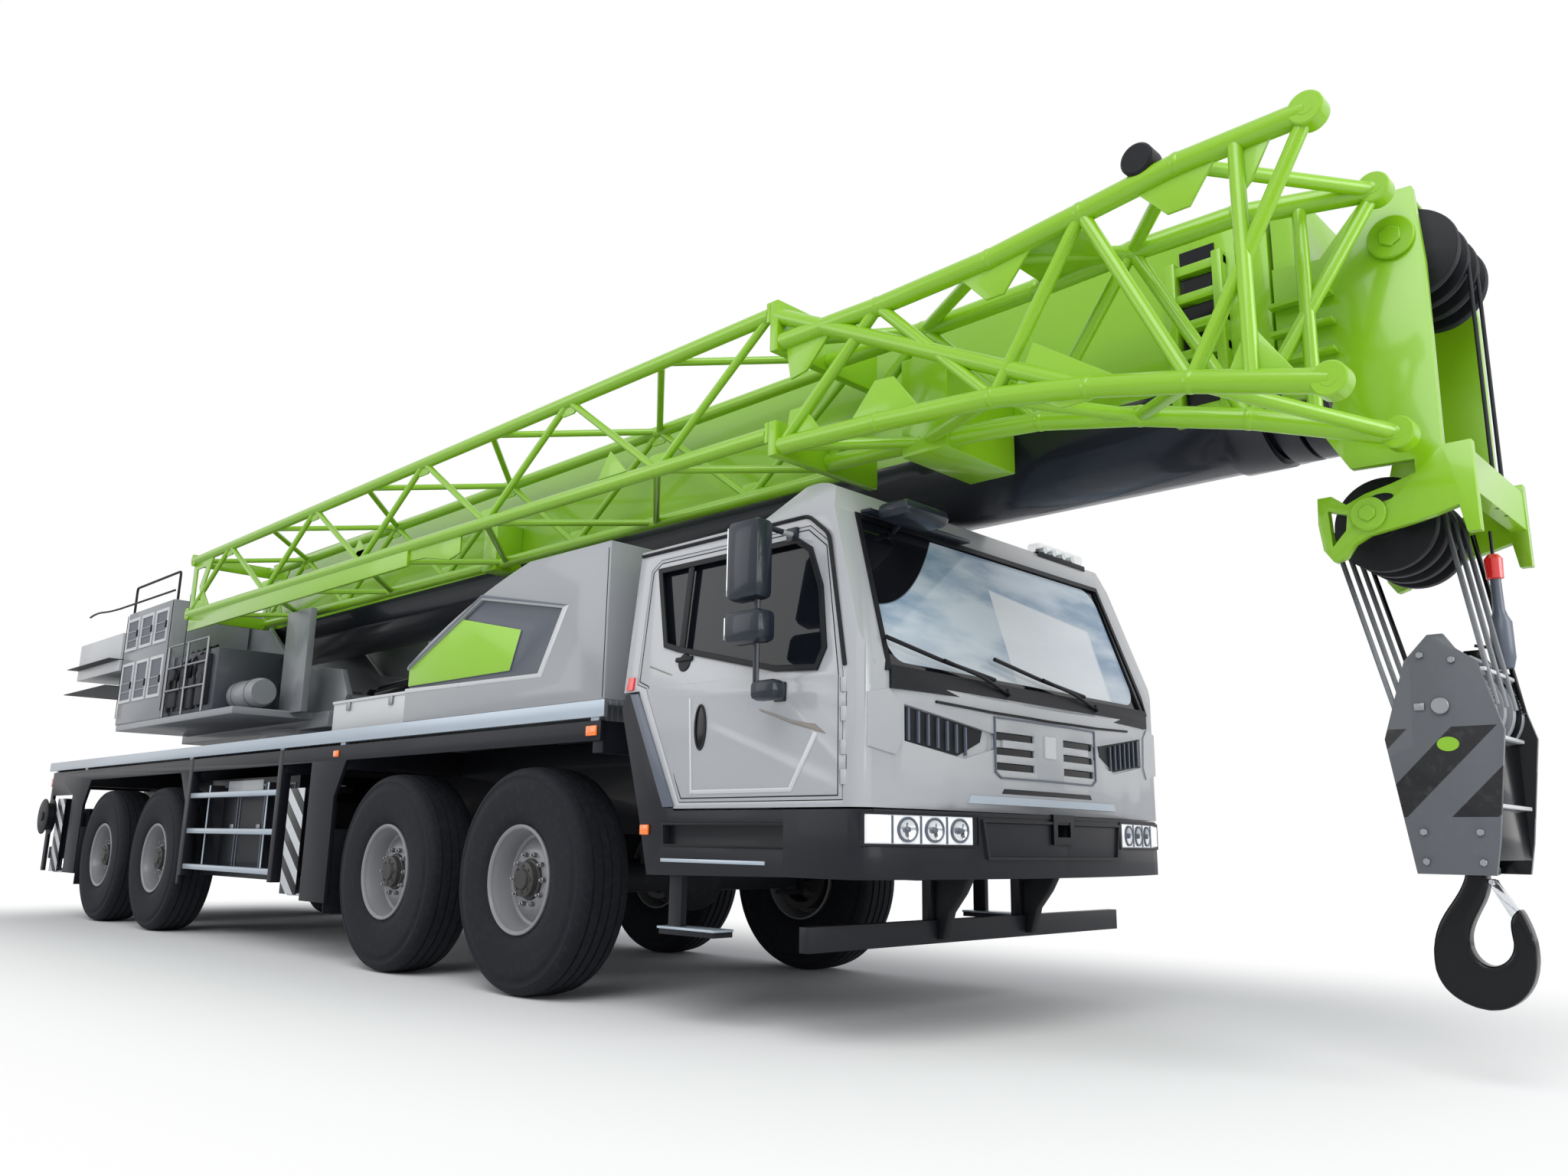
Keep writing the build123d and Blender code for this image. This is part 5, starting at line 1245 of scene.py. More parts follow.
@dataclass
class Skins(Workshop):
    """CAD nodes that keep their shape and get rounded edges and their finish."""

    door_face: float = 1.5012

    def build(self) -> None:
        """Dress the nodes one by one."""
        skin, tint, plain = self.skin, self.recolour, self.plain
        skin("chassis_frame", Look.NAVY, 0.006)
        deck = skin("deck", Look.DECK, 0.004)
        tint(deck, Look.SILVER, lambda at, normal: abs(at.y) > 1.465)
        lockers = skin("side_lockers", Look.NAVY, 0.004)
        tint(lockers, Look.SILVER, lambda at, normal: abs(at.y) > 1.395 and at.z < 1.5)
        tint(lockers, Look.PALE, lambda at, normal: at.z > 1.75)
        fairings = skin("engine_fairings", Look.FAIRING, 0.010)
        tint(fairings, Look.INSET, lambda at, normal: 1.466 < abs(at.y) < 1.474 and at.x < 3.0)
        tint(fairings, Look.PANEL_GREEN, lambda at, normal: 1.4805 < abs(at.y) < 1.4835 and at.x < 2.5)
        for node, look, edge in (("engine_block", Look.CAST, 0.01), ("cab_shell", Look.CAB, 0.008),
                                 ("cab_interior", Look.SEAT, 0.012), ("bumper_and_skirts", Look.NAVY, 0.008),
                                 ("axle_beams", Look.CAST, 0.006), ("turntable", Look.BODY, 0.006),
                                 ("winches", Look.STEEL, 0.003)):
            skin(node, look, edge)
        house = skin("machinery_house", Look.BODY, 0.012)
        tint(house, Look.HOUSE, lambda at, normal: at.x > -4.46)
        # the boom sections take the boom paint, lime with a painted shade on their underside
        for node, look, edge in (("operator_cab", Look.CAB, 0.010), ("operator_door", Look.CAB, 0.006),
                                 ("counterweight", Look.PALE, 0.02), ("luff_barrel", Look.BLACK, 0.005),
                                 ("luff_rod", Look.CHROME, 0.004), ("boom_base", Look.BOOM, 0.006),
                                 ("boom_section_2", Look.BOOM, 0.006)):
            skin(node, look, edge)
        head = skin("boom_section_3", Look.BOOM, 0.006)
        tint(head, Look.GREEN, lambda at, normal: at.x > 7.075 and (abs(at.y) > 0.39 or at.z < 2.7))
        skin("head_sheaves", Look.TRIM, 0.006)
        self.forged("load_hook", Look.BLACK)
        block = skin("hook_block", Look.BODY, 0.004)
        tint(block, Look.CHEEK, lambda at, normal: abs(at.y) > 0.262 and at.z < 1.95)
        tint(block, Look.ROPE, lambda at, normal: at.z > 1.9)
        tint(block, Look.BLACK, lambda at, normal: 0.2 < abs(at.y) < 0.275 and at.y * normal.y < 0)
        for side_name in ("right", "left"):
            skin(f"door_{side_name}", Look.CAB, 0.006, outmost=self.door_face)
            plain(f"door_glass_{side_name}", Look.WINDOW)
            for axle in ("1", "2"):
                skin(f"knuckle_{axle}_{side_name}", Look.CAST, 0.006)
            for end in ("front", "rear"):
                beam = skin(f"outrigger_beam_{end}_{side_name}", Look.NAVY, 0.005)
                tint(beam, Look.COVER, lambda at, normal: abs(at.y) > 1.479)
                skin(f"outrigger_jack_{end}_{side_name}", Look.CHROME, 0.004)
        plain("cab_glass", Look.SCREEN)
        plain("operator_glass", Look.WINDOW)
        lamps = skin("lamps", Look.ORANGE, 0.004)
        tint(lamps, Look.LAMP_WHITE, lambda at, normal: at.x > 5.0)
        tint(lamps, Look.RED, lambda at, normal: at.x < -7.0)


@dataclass
class Jib(Workshop):
    """The stowed lattice jib: chords, braces, cross plates, gussets and forks."""

    bays: int = 9
    chord: float = 0.044
    brace: float = 0.024
    heavy_chord: float = 0.050
    heavy_brace: float = 0.032
    gusset: float = 0.008
    outer: float = -1.40
    inner: float = -0.61

    def build(self) -> None:
        """Build both sections in place of their CAD nodes, and their pins."""
        self.tip()
        self.base()
        pins = [self.rod("pin", (4.67, y, z - 0.09), (4.67, y, z + 0.09), 0.018, 12) for y in (-1.3, -0.7)
                for z in (3.14, 3.86)]
        pins.append(self.rod("roller", (6.9, -1.45, 3.86), (6.9, -1.34, 3.86), 0.075, 32, 0.01))
        self.group("jib_pins", pins, "boom", Look.TRIM)

    def tip(self) -> None:
        """The long rear section, with node plates, keel and end plates."""
        rear = (-3.96, self.outer, self.inner, 3.20, 3.78)
        joint = (4.65, self.outer, self.inner, 3.15, 3.86)
        stations = [tuple(a + (b - a) * i / self.bays for a, b in zip(rear, joint))
                    for i in range(self.bays + 1)]
        block, rod, plate = self.block, self.rod, self.plate
        pieces = self.lattice([rear, joint], self.chord, 0) + self.lattice(stations, 0, self.brace)
        for index, station in enumerate(stations[1:-1]):
            x, z, grow = station[0], station[3 if index % 2 else 4], 0.10 if index % 2 else -0.10
            for y in station[1:3]:
                outline = [(x - 0.17, z), (x + 0.17, z), (x + 0.06, z + grow), (x - 0.06, z + grow)]
                pieces.append(plate("node_plate", outline, y - 0.006, y + 0.006))
        for station in (rear, joint):
            x = (station[0], station[0] + 0.03)
            pieces += [block("plate", x, (-1.44, -0.57), (z - 0.06, z + 0.06), 0.006) for z in station[3:]]
        pieces.append(block("keel", (-3.9, 0.7), (-1.42, -1.39), (3.01, 3.2), 0.004))
        pieces.append(block("carrier", (0.56, 0.76), (-0.67, -0.4203), (3.11, 3.51), 0.008))
        for x in (-3.7, -0.3, 3.1):
            pieces.append(plate("knee", [(x, 3.21), (x + 0.30, 3.21), (x + 0.12, 3.38)], -1.406, -1.394))
        for y in (self.outer, self.inner):
            end = [(-3.95, 3.22), (-3.95, 3.77), (-3.42, 3.77), (-3.62, 3.46), (-3.50, 3.22)]
            pieces.append(self.band("end_plate", end, 0.10, y - 0.008, y + 0.008))
        under = [(-1.9, 3.19), (1.45, 3.19), (1.45, 3.00), (1.30, 2.97), (0.95, 3.04), (-1.0, 3.13)]
        pieces.append(plate("under_plate", under, -1.400, -1.384))
        for z in (3.78, 3.20):
            for y in (self.outer, self.inner):
                pieces.append(rod("eye", (-3.93, y - 0.035, z), (-3.93, y + 0.035, z), 0.062, 24))
        self.done(self.join("jib_tip_lattice", pieces), "boom", Look.GREEN, 40, ("jib_tip",))

    def base(self) -> None:
        """The short front section, which widens downwards to its forks."""
        block, rod, plate = self.block, self.rod, self.plate
        base = [(4.74, -1.39, -1.0, 3.07, 3.68), (5.42, -1.39, -1.0, 3.04, 3.67),
                (6.11, -1.39, -0.98, 2.99, 3.69), (6.60, -1.39, -0.92, 2.91, 3.74),
                (7.06, -1.39, -0.82, 2.81, 3.79), (7.60, -1.39, -0.62, 2.665, 3.79)]
        pieces = self.lattice(base, self.heavy_chord, self.heavy_brace)
        weld = self.heavy_chord + 0.003
        for x, outer, inner, low, high in base[1:-1]:
            pieces += [self.ball("weld", (x, y, z), weld) for y in (outer, inner) for z in (low, high)]
        for z in ((3.01, 3.21), (3.62, 3.92)):
            pieces.append(block("joint", (4.68, 4.74), (-1.44, -0.57), z, 0.006))
        pieces.append(rod("peak", (4.71, -1.40, 3.84), (6.6, -1.37, 2.91), self.chord))
        for y in (-1.40, -0.73):
            pieces.append(rod("post", (7.31, y, 2.745), (7.31, y, 3.79), self.heavy_brace))
        y = (-1.385 - self.gusset, -1.385 + self.gusset)
        for outline in ([(7.29, 3.79), (7.47, 3.79), (7.36, 3.59), (7.30, 3.53)],
                        [(7.20, 2.775), (7.29, 2.96), (7.33, 2.96), (7.50, 2.70)],
                        [(6.22, 2.98), (6.33, 3.20), (6.76, 2.91), (6.60, 2.85), (6.46, 2.85)],
                        [(4.76, 3.66), (5.12, 3.66), (4.92, 3.46), (4.80, 3.44)],
                        [(5.20, 3.05), (5.70, 3.03), (5.52, 3.26), (5.40, 3.27)],
                        [(5.90, 3.68), (6.36, 3.70), (6.18, 3.49), (6.08, 3.49)],
                        [(6.84, 3.76), (7.24, 3.78), (7.10, 3.58), (7.00, 3.58)],
                        [(4.76, 3.08), (5.05, 3.06), (4.90, 3.26), (4.80, 3.26)]):
            pieces.append(plate("gusset", outline, *y))
        pieces.append(block("top_gusset", (6.15, 6.56), (-1.37, -0.95), (3.70, 3.716)))
        pieces.append(block("carrier", (5.3, 5.6), (-1.05, -0.4203), (2.96, 3.51), 0.008))
        for y in base[-1][1:3]:
            for z in base[-1][3:]:
                pieces.append(rod("fork", (7.6, y - 0.045, z), (7.6, y + 0.045, z), 0.07, 32, 0.006))
                pieces.append(rod("bush", (7.6, y - 0.047, z), (7.6, y + 0.047, z), 0.034, 24, 0.002))
        self.done(self.join("jib_base_lattice", pieces), "boom", Look.GREEN, 40, ("jib_base",))

    def lattice(self, stations: Sequence[tuple], chord: float, brace: float) -> list[Piece]:
        """Chords and diagonals through stations of (x, outer y, inner y, low z, high z).

        Args:
            stations: the places along the jib.
            chord: the chords' radius, or 0 for no chords.
            brace: the diagonals' radius, or 0 for none.

        Returns:
            The bars.
        """
        bars = []

        def bar(near: tuple, far: tuple, radius: float, sides: int, edge: float) -> None:
            """Add a bar between two corners.

            Args:
                near: the first corner, as its station and whether it is outer and upper.
                far: the second corner.
                radius: the bar's radius.
                sides: how many facets it has round.
                edge: the rounding at its ends.
            """
            ends = [(station[0], station[1 if outer else 2], station[4 if upper else 3])
                    for station, outer, upper in (near, far)]
            bars.append(self.rod("bar", *ends, radius, sides, edge))

        for index, (near, far) in enumerate(zip(stations, stations[1:])):
            low_first = index % 2 == 0
            for outer in (True, False):
                for upper in (True, False):
                    if chord:
                        bar((near, outer, upper), (far, outer, upper), chord, 24, 0.002)
                if brace:
                    bar((near, outer, not low_first), (far, outer, low_first), brace, 16, 0)
            for upper in (True, False):
                if brace:
                    bar((near, low_first, upper), (far, not low_first, upper), brace, 16, 0)
        return bars


@dataclass
class CabTrim(Workshop):
    """What sits on the cab's shell and doors: frames, mirrors, handles, creases, wipers and lamps."""

    side: float = -1.5
    sunk: float = 0.004
    doors: tuple[str, str] = ("cab_door_right", "cab_door_left")
    ribs: int = 7

    def build(self) -> None:
        """Dress the doors, then the front."""
        self.door()
        self.mirrors()
        self.flank()
        self.nose()
        self.wipers()
        self.roof()

    def on_side(self, name: str, outline: Sequence[Pair], rise: float, width: float = 0) -> Piece:
        """A plate or a frame that stands out from the cab's right side.

        Args:
            name: the piece's name.
            outline: its corners as (x, z).
            rise: how far it stands out.
            width: a frame's width, or 0 for a whole plate.

        Returns:
            The new piece.
        """
        edge = 0.002 if width else 0.0015
        return self.lean(self.cut_out(name, outline, self.side - rise, self.side + self.sunk, "Y", width,
                                      edge))

    def door(self) -> None:
        """Frame and divider of the door window, handle, low window, a painted shade under the crease and
        painted highlights on the inset panel's edges.
        """
        doors, both = self.doors, self.both
        window = [(3.77, 2.52), (3.91, 2.03), (4.04, 1.99), (4.82, 1.81), (5.12, 1.79), (5.17, 1.90),
                  (5.11, 2.23), (5.01, 2.45), (4.90, 2.52)]
        frame_ring = self.on_side("door_window_frame", window, 0.010, 0.032)
        divider = self.on_side("divider", [(4.045, 2.51), (4.045, 1.99), (4.09, 1.98), (4.09, 2.51)], 0.006)
        both(self.join("door_window_frame", [frame_ring, divider]), doors, Look.TRIM)
        handle = self.rod("door_handle", (4.10, -1.488, 1.925), (4.10, -1.507, 1.925), 0.052, 32, 0.006)
        pull = self.block("pull", (4.03, 4.17), (-1.482, -1.516), (1.93, 1.958), 0.008)
        both(self.lean(self.join("door_handle", [handle, pull])), doors, Look.TRIM)
        middle = (4.27, 1.555)
        both(self.on_side("low_window_frame", oval(middle, (0.048, 0.125)), 0.006, 0.013), doors, Look.TRIM)
        both(self.on_side("low_window", oval(middle, (0.038, 0.114)), 0.002), doors, Look.BLACK)
        # the crease is a flat plate in a dark colour: painted shade under the crease, widening forwards
        crease = self.on_side("door_crease_shade", [(3.80, 1.934), (3.80, 1.926), (4.95, 1.536), (5.18, 1.475),
                                              (5.11, 1.525), (4.95, 1.552)], 0.004)
        both(crease, doors, Look.CREASE_SHADE)
        # painted highlight strips along the inset panel's lower and front edges
        inset = [(4.17, 1.72), (4.20, 1.20), (4.955, 1.20), (5.13, 1.48), (5.10, 1.49), (4.935, 1.222),
                 (4.215, 1.222), (4.185, 1.715)]
        both(self.on_side("door_inset_highlight", inset, 0.004), doors, Look.CAB_HIGHLIGHT)
        seam = [(5.262, 1.175), (4.125, 1.175), (3.805, 1.81), (3.72, 1.845), (3.72, 2.505), (3.79, 2.555),
                (4.97, 2.555), (5.11, 2.445), (5.262, 1.76)]
        both(self.on_side("door_seal", seam, 0.0015, 0.007), doors, Look.TRIM)

    def mirrors(self) -> None:
        """Three mirror heads on each door, on one bent arm."""
        doors, block = self.doors, self.block
        arm = [(4.86, -1.40, 2.54), (4.86, -1.62, 2.545), (4.87, -1.68, 2.50), (4.87, -1.68, 1.72),
               (4.87, -1.62, 1.70), (4.87, -1.47, 1.70)]
        heads = [block("mirror_heads", (4.70, 4.93), (-1.622, -1.748), (2.15, 2.57), 0.035),
                 block("wide", (4.69, 4.95), (-1.618, -1.748), (1.93, 2.095), 0.032),
                 block("kerb", (4.84, 5.01), (-1.600, -1.700), (1.64, 1.74), 0.028),
                 self.hose("arm", arm, 0.016, corner=0.05),
                 block("foot", (4.82, 4.90), (-1.40, -1.43), (2.50, 2.58), 0.008),
                 block("foot", (4.83, 4.91), (-1.485, -1.515), (1.65, 1.75), 0.008)]
        self.both(self.join("mirror_heads", heads), doors, Look.MIRROR_BACK)
        glasses = [block("mirror_glass", (4.694, 4.704), (-1.637, -1.735), (2.18, 2.54), 0.003),
                   block("wide", (4.684, 4.694), (-1.635, -1.735), (1.955, 2.07), 0.003)]
        self.both(self.join("mirror_glass", glasses), doors, Look.MIRROR)

    def flank(self) -> None:
        """Drip rail, slanted trim behind the door, steps and the small red lamp."""
        both = self.both
        rail = [(3.60, -1.405, 2.625), (4.96, -1.405, 2.63), (5.13, -1.432, 2.50), (5.30, -1.500, 1.80)]
        both(self.hose("drip_rail", rail, 0.011, corner=0.08), "carrier", Look.TRIM)
        strip = [(3.66, 1.775), (3.735, 1.775), (4.075, 1.135), (3.985, 1.135)]
        both(self.on_side("rear_trim", strip, 0.008), "carrier", Look.SLATE)
        lamp = [(3.62, 1.80), (3.68, 1.80), (3.68, 1.875), (3.63, 1.875)]
        both(self.on_side("red_side_lamp", lamp, 0.012), "carrier", Look.RED)
        step = self.block("fender_step", (3.97, 4.77), (-1.478, -1.497), (0.842, 0.862), 0.004)
        tread = self.block("tread", (3.94, 4.39), (-1.33, -1.478), (0.493, 0.506), 0.003)
        both(self.join("fender_step", [step, tread]), "carrier", Look.SILVER)
        slot = [(3.97, 1.05), (3.98, 0.925), (4.91, 0.925), (4.91, 1.05)]
        both(self.on_side("fender_slot", slot, -0.002, 0.012), "carrier", Look.TRIM)

    def across(self, name: str, outline: Sequence[Pair], rise: float, cuts: int = 6, width: float = 0.0,
               low: float = -0.006) -> Piece:
        """A plate or a frame laid on the cab's front.

        Args:
            name: the piece's name.
            outline: its corners as (y, z).
            rise: how far it stands out.
            cuts: how often its edges are divided so that it can bend.
            width: a frame's width, or 0 for a whole plate.
            low: where its back lies, from the surface.

        Returns:
            The new piece.
        """
        return self.drape(self.cut_out(name, outline, low, rise, "X", width, 0), cab_front, cuts)

    def nose(self) -> None:
        """Windscreen seal, bonnet line, grille, plate, lamp insets and the strip over the bumper."""
        done = self.done
        screen = [(1.33, 1.785), (1.24, 2.655), (-1.24, 2.655), (-1.33, 1.785)]
        done(self.across("windscreen_seal", screen, 0.010, 6, 0.03), "carrier", Look.TRIM)
        cowl = [(1.30, 1.70), (1.30, 1.80), (-1.30, 1.80), (-1.30, 1.70)]
        done(self.across("cowl", cowl, 0.014, 12), "carrier", Look.TRIM)
        hood = [(0.52, 1.625), (0.52, 1.33), (0.47, 1.30), (-0.47, 1.30), (-0.52, 1.33), (-0.52, 1.625)]
        done(self.across("grille_edge", hood, 0.008, 5, 0.010), "carrier", Look.SLATE)
        line = [(0.98, 1.665), (0.55, 1.648), (0.0, 1.642), (-0.55, 1.648), (-0.98, 1.665), (-0.98, 1.653),
                (-0.55, 1.636), (0.0, 1.630), (0.55, 1.636), (0.98, 1.653)]
        done(self.across("bonnet_line", line, 0.012, 10), "carrier", Look.TRIM)
        plate = [(0.055, 1.43), (0.055, 1.55), (-0.055, 1.55), (-0.055, 1.43)]
        done(self.across("blank_plate", plate, 0.010, 0), "carrier", Look.PALE)
        slots = [self.across("slot", [(a, z), (a, z + 0.034), (b, z + 0.034), (b, z)], -0.012, 4, 0, -0.03)
                 for a, b in ((0.15, 0.5), (-0.5, -0.15)) for z in (1.347, 1.427, 1.507)]
        self.group("grille_slots", slots, "carrier", Look.BLACK)
        low_slot = [(0.46, 1.222), (0.44, 1.248), (-0.44, 1.248), (-0.46, 1.222)]
        done(self.across("low_slot", low_slot, 0.003, 5), "carrier", Look.BLACK)
        strip = [(0.75, 1.165), (0.73, 1.205), (-0.73, 1.205), (-0.75, 1.165)]
        done(self.across("bumper_top_strip", strip, 0.012, 6), "carrier", Look.SILVER)
        self.insets()

    def insets(self) -> None:
        """Corner panels beside the bonnet, and the dark insets with their ribs."""
        corner = [(1.44, 1.41), (1.44, 1.67), (1.31, 1.695), (1.245, 1.64), (1.225, 1.45), (1.27, 1.38)]
        inset = [(1.20, 1.625), (0.60, 1.54), (0.62, 1.48), (0.80, 1.40), (1.20, 1.455)]
        insets, ribs, corners = [], [], []
        for side in (1, -1):
            corners.append(self.across("corner_panels", [(side * y, z) for y, z in corner], 0.010, 4))
            insets.append(self.across("lamp_inset", [(side * y, z) for y, z in inset], -0.014, 4, 0, -0.019))
            for i in range(self.ribs):
                y = 1.17 - i * 0.07
                low, high = 1.455 - i * 0.0085, 1.615 - i * 0.011
                rib = [(y, low), (y, high), (y - 0.012, high - 0.002), (y - 0.012, low)]
                ribs.append(self.across("rib", [(side * a, z) for a, z in rib], -0.003, 0, 0, -0.015))
        self.group("corner_panels", corners, "carrier", Look.CAB)
        self.group("lamp_insets", insets, "carrier", Look.TRIM)
        self.group("lamp_ribs", ribs, "carrier", Look.SLATE)

    def wipers(self) -> None:
        """Two wipers parked along the windscreen's foot."""
        pieces = []
        for y in (-0.32, 0.62):
            points = [(0.02, y, 1.765), (0.045, y - 0.25, 1.83), (0.040, y - 0.55, 1.885)]
            blade = [(0.026, y - 0.98, 1.955), (0.024, y - 0.55, 1.885), (0.024, y - 0.10, 1.832)]
            for name, line, radius in (("arm", points, 0.010), ("blade", blade, 0.012)):
                dense = [tuple(Vector(line[i]).lerp(Vector(line[i + 1]), k / 4)) for i in (0, 1)
                         for k in range(4)]
                dense.append(line[-1])
                lifted = [(x + cab_front(a, z), a, z) for x, a, z in dense]
                pieces.append(self.hose(name, lifted, radius))
            x = cab_front(y, 1.765)
            pieces.append(self.rod("pivot", (x - 0.01, y, 1.765), (x + 0.035, y, 1.775), 0.022, 20, 0.004))
        self.group("wipers", pieces, "carrier", Look.TRIM)

    def roof(self) -> None:
        """Kerb mirror and visor over the windscreen, clear lamp bar and roof hatch."""
        block, done, rod = self.block, self.done, self.rod
        head = [block("kerb_mirror", (5.22, 5.44), (-1.18, -0.80), (2.60, 2.70), 0.045),
                rod("arm", (5.16, -0.95, 2.60), (5.30, -1.0, 2.66), 0.014),
                block("visor", (5.14, 5.21), (-1.2, -0.3), (2.655, 2.675), 0.006)]
        self.group("kerb_mirror", head, "carrier", Look.MIRROR_BACK)
        done(block("lamp_bar", (5.00, 5.10), (0.62, 1.16), (2.80, 2.868), 0.02), "carrier", Look.LAMP_COVER)
        lamps = [rod("lamp_bar_lamps", (5.02, y, 2.832), (5.08, y, 2.832), 0.026, 20)
                 for y in (0.72, 0.83, 0.95, 1.06)]
        self.group("lamp_bar_lamps", lamps, "carrier", Look.CHROME)
        done(block("lamp_bar_foot", (5.00, 5.10), (0.60, 1.18), (2.765, 2.802), 0.006), "carrier", Look.TRIM)
        # the roof hatch takes the lighter copy of the cab paint, a painted highlight on the roof
        done(block("roof_hatch", (3.80, 4.42), (-0.34, 0.34), (2.655, 2.69), 0.02), "carrier", Look.CAB_HIGHLIGHT)


@dataclass
class Front(Workshop):
    """Bumper, headlamps, towing hole, underrun bar brackets."""

    face: float = 5.56
    half_width: float = 1.45
    bow: float = 0.18
    lamp_z: float = 1.025

    def on_bumper(self, piece: Piece, cuts: int = 6) -> Piece:
        """Bend a piece to the bumper, its X being the height above the face.

        Args:
            piece: the piece.
            cuts: how often its edges are divided first.

        Returns:
            The same piece.
        """
        radius = (self.half_width ** 2 + self.bow ** 2) / (2 * self.bow)
        middle = self.face - radius
        return self.drape(piece, lambda y, z: middle + math.sqrt(radius * radius - y * y), cuts)

    def frame(self, name: str, outline: Sequence[Pair], width: float, rise: float, cuts: int) -> Piece:
        """A flat frame on the bumper's face.

        Args:
            name: the piece's name.
            outline: its corners as (y, z).
            width: how wide the frame is.
            rise: how far it stands out.
            cuts: how often its edges are divided so that it can bend.

        Returns:
            The new piece.
        """
        return self.on_bumper(self.band(name, outline, width, -0.004, rise, "X", 0), cuts)

    def turned(self, name: str, profile: Sequence[Pair], y: float, steps: int = 28) -> Piece:
        """A round piece of a headlamp, turned about an axis that points ahead.

        Args:
            name: the piece's name.
            profile: its closed outline as (radius, height above the face).
            y: the place of its axis across.
            steps: how many facets it has round.

        Returns:
            The new piece.
        """
        return self.on_bumper(self.lathe(name, profile, (0, y, self.lamp_z), "X", steps), 0)

    def build(self) -> None:
        """Dress the bumper and what hangs under it."""
        block, done = self.block, self.done
        lip = self.on_bumper(block("bumper_lip", (-0.09, 0.004), (-1.40, 1.40), (1.098, 1.118), 0), 8)
        done(lip, "carrier", Look.BUMPER)
        panel = [(0.66, 0.885), (0.70, 1.085), (-0.70, 1.085), (-0.66, 0.885)]
        done(self.frame("bumper_panel", panel, 0.014, 0.014, 6), "carrier", Look.BUMPER)
        hole = [(0.105, 0.965), (0.105, 1.125), (-0.105, 1.125), (-0.105, 0.965)]
        done(self.frame("tow_hole_frame", hole, 0.04, 0.018, 0), "carrier", Look.BLACK)
        back = block("tow_hole_dark", (5.498, 5.502), (-0.064, 0.064), (1.006, 1.114), 0)
        done(back, "carrier", Look.BLACK)
        self.headlamps()
        outline = [(5.10, 0.84), (5.30, 0.84), (5.22, 0.70), (5.14, 0.60), (5.10, 0.46), (4.99, 0.46),
                   (5.00, 0.60), (5.05, 0.74)]
        arms = [self.plate("underrun_arm", outline, y - 0.035, y + 0.035, "Y", 0.01) for y in (0.43, -0.43)]
        self.group("underrun_arms", arms, "carrier", Look.TRIM)

    def headlamps(self) -> None:
        """Two lamp units with three round lamps and a turn light each."""
        rim = [(0.050, 0.0), (0.060, 0.0), (0.060, 0.012), (0.050, 0.009)]
        dish = [(0.0, 0.001), (0.030, 0.002), (0.048, 0.008), (0.050, 0.0), (0.0, 0.0)]
        bulb = [(0.0, 0.0), (0.016, 0.0), (0.014, 0.012), (0.0, 0.016)]
        unit = [(0.715, 0.945), (1.465, 0.945), (1.465, 1.105), (0.715, 1.105)]
        frames, lenses, rings, bowls = [], [], [], []
        for side in (1, -1):
            frames.append(self.frame("lamp_frame", [(side * y, z) for y, z in unit], 0.012, 0.006, 5))
            for y in (side * 0.86, side * 1.03, side * 1.20):
                rings.append(self.turned("rim", rim, y))
                bowls.append(self.turned("dish", dish, y))
                rings.append(self.turned("bulb", bulb, y, 20))
            for y in (side * 0.945, side * 1.115, side * 1.29):
                bar = self.block("bar", (0.0, 0.006), (y - 0.004, y + 0.004), (0.96, 1.09), 0)
                rings.append(self.on_bumper(bar, 0))
            turn = self.block("turn", (-0.004, 0.007), (side * 1.31, side * 1.44), (0.965, 1.085), 0)
            lenses.append(self.on_bumper(turn, 0))
        self.group("headlamp_frames", frames, "carrier", Look.TRIM)
        self.group("headlamp_rings", rings, "carrier", Look.SLATE)
        self.group("headlamp_dishes", bowls, "carrier", Look.CHROME)
        self.group("headlamp_turn_lenses", lenses, "carrier", Look.LAMP_WHITE)


@dataclass
class Fairing(Workshop):
    """Lines and handles on the engine fairings."""

    inside: float = -1.494
    first_vent: float = 1.5
    vent_pitch: float = 0.12
    vents: int = 12

    def build(self) -> None:
        """A painted highlight along the recess edges, seams, grab bars and vents."""
        plate, both = self.plate, self.both
        # a painted highlight strip along the recess's front and lower edges
        edge = [(3.00, 2.395), (2.745, 1.955), (1.00, 1.985), (1.00, 2.015), (2.70, 1.985), (2.935, 2.385)]
        both(plate("fairing_edge_highlight", edge, -1.503, self.inside), "carrier", Look.CAB_HIGHLIGHT)
        crown = [(1.02, 2.165), (1.97, 2.575), (2.94, 2.395), (3.0, 2.395), (1.965, 2.597), (1.02, 2.19)]
        both(plate("fairing_crown", crown, -1.5025, self.inside), "carrier", Look.SLATE)
        seam = self.block("fairing_seam", (3.385, 3.391), (-1.502, self.inside), (1.78, 2.70), 0)
        both(seam, "carrier", Look.TRIM)
        places = [self.first_vent + i * self.vent_pitch for i in range(self.vents)]
        vents = [self.block("hood_vents", (x, x + 0.05), (-0.52, 0.52), (2.26, 2.272), 0.002)
                 for x in places]
        self.group("hood_vents", vents, "carrier", Look.TRIM)
        grab = [(1.25, -1.02, 2.18), (1.25, -1.02, 2.30), (1.75, -1.02, 2.52), (1.75, -1.02, 2.40)]
        both(self.hose("fairing_grab", grab, 0.012, corner=0.05), "carrier", Look.TRIM)


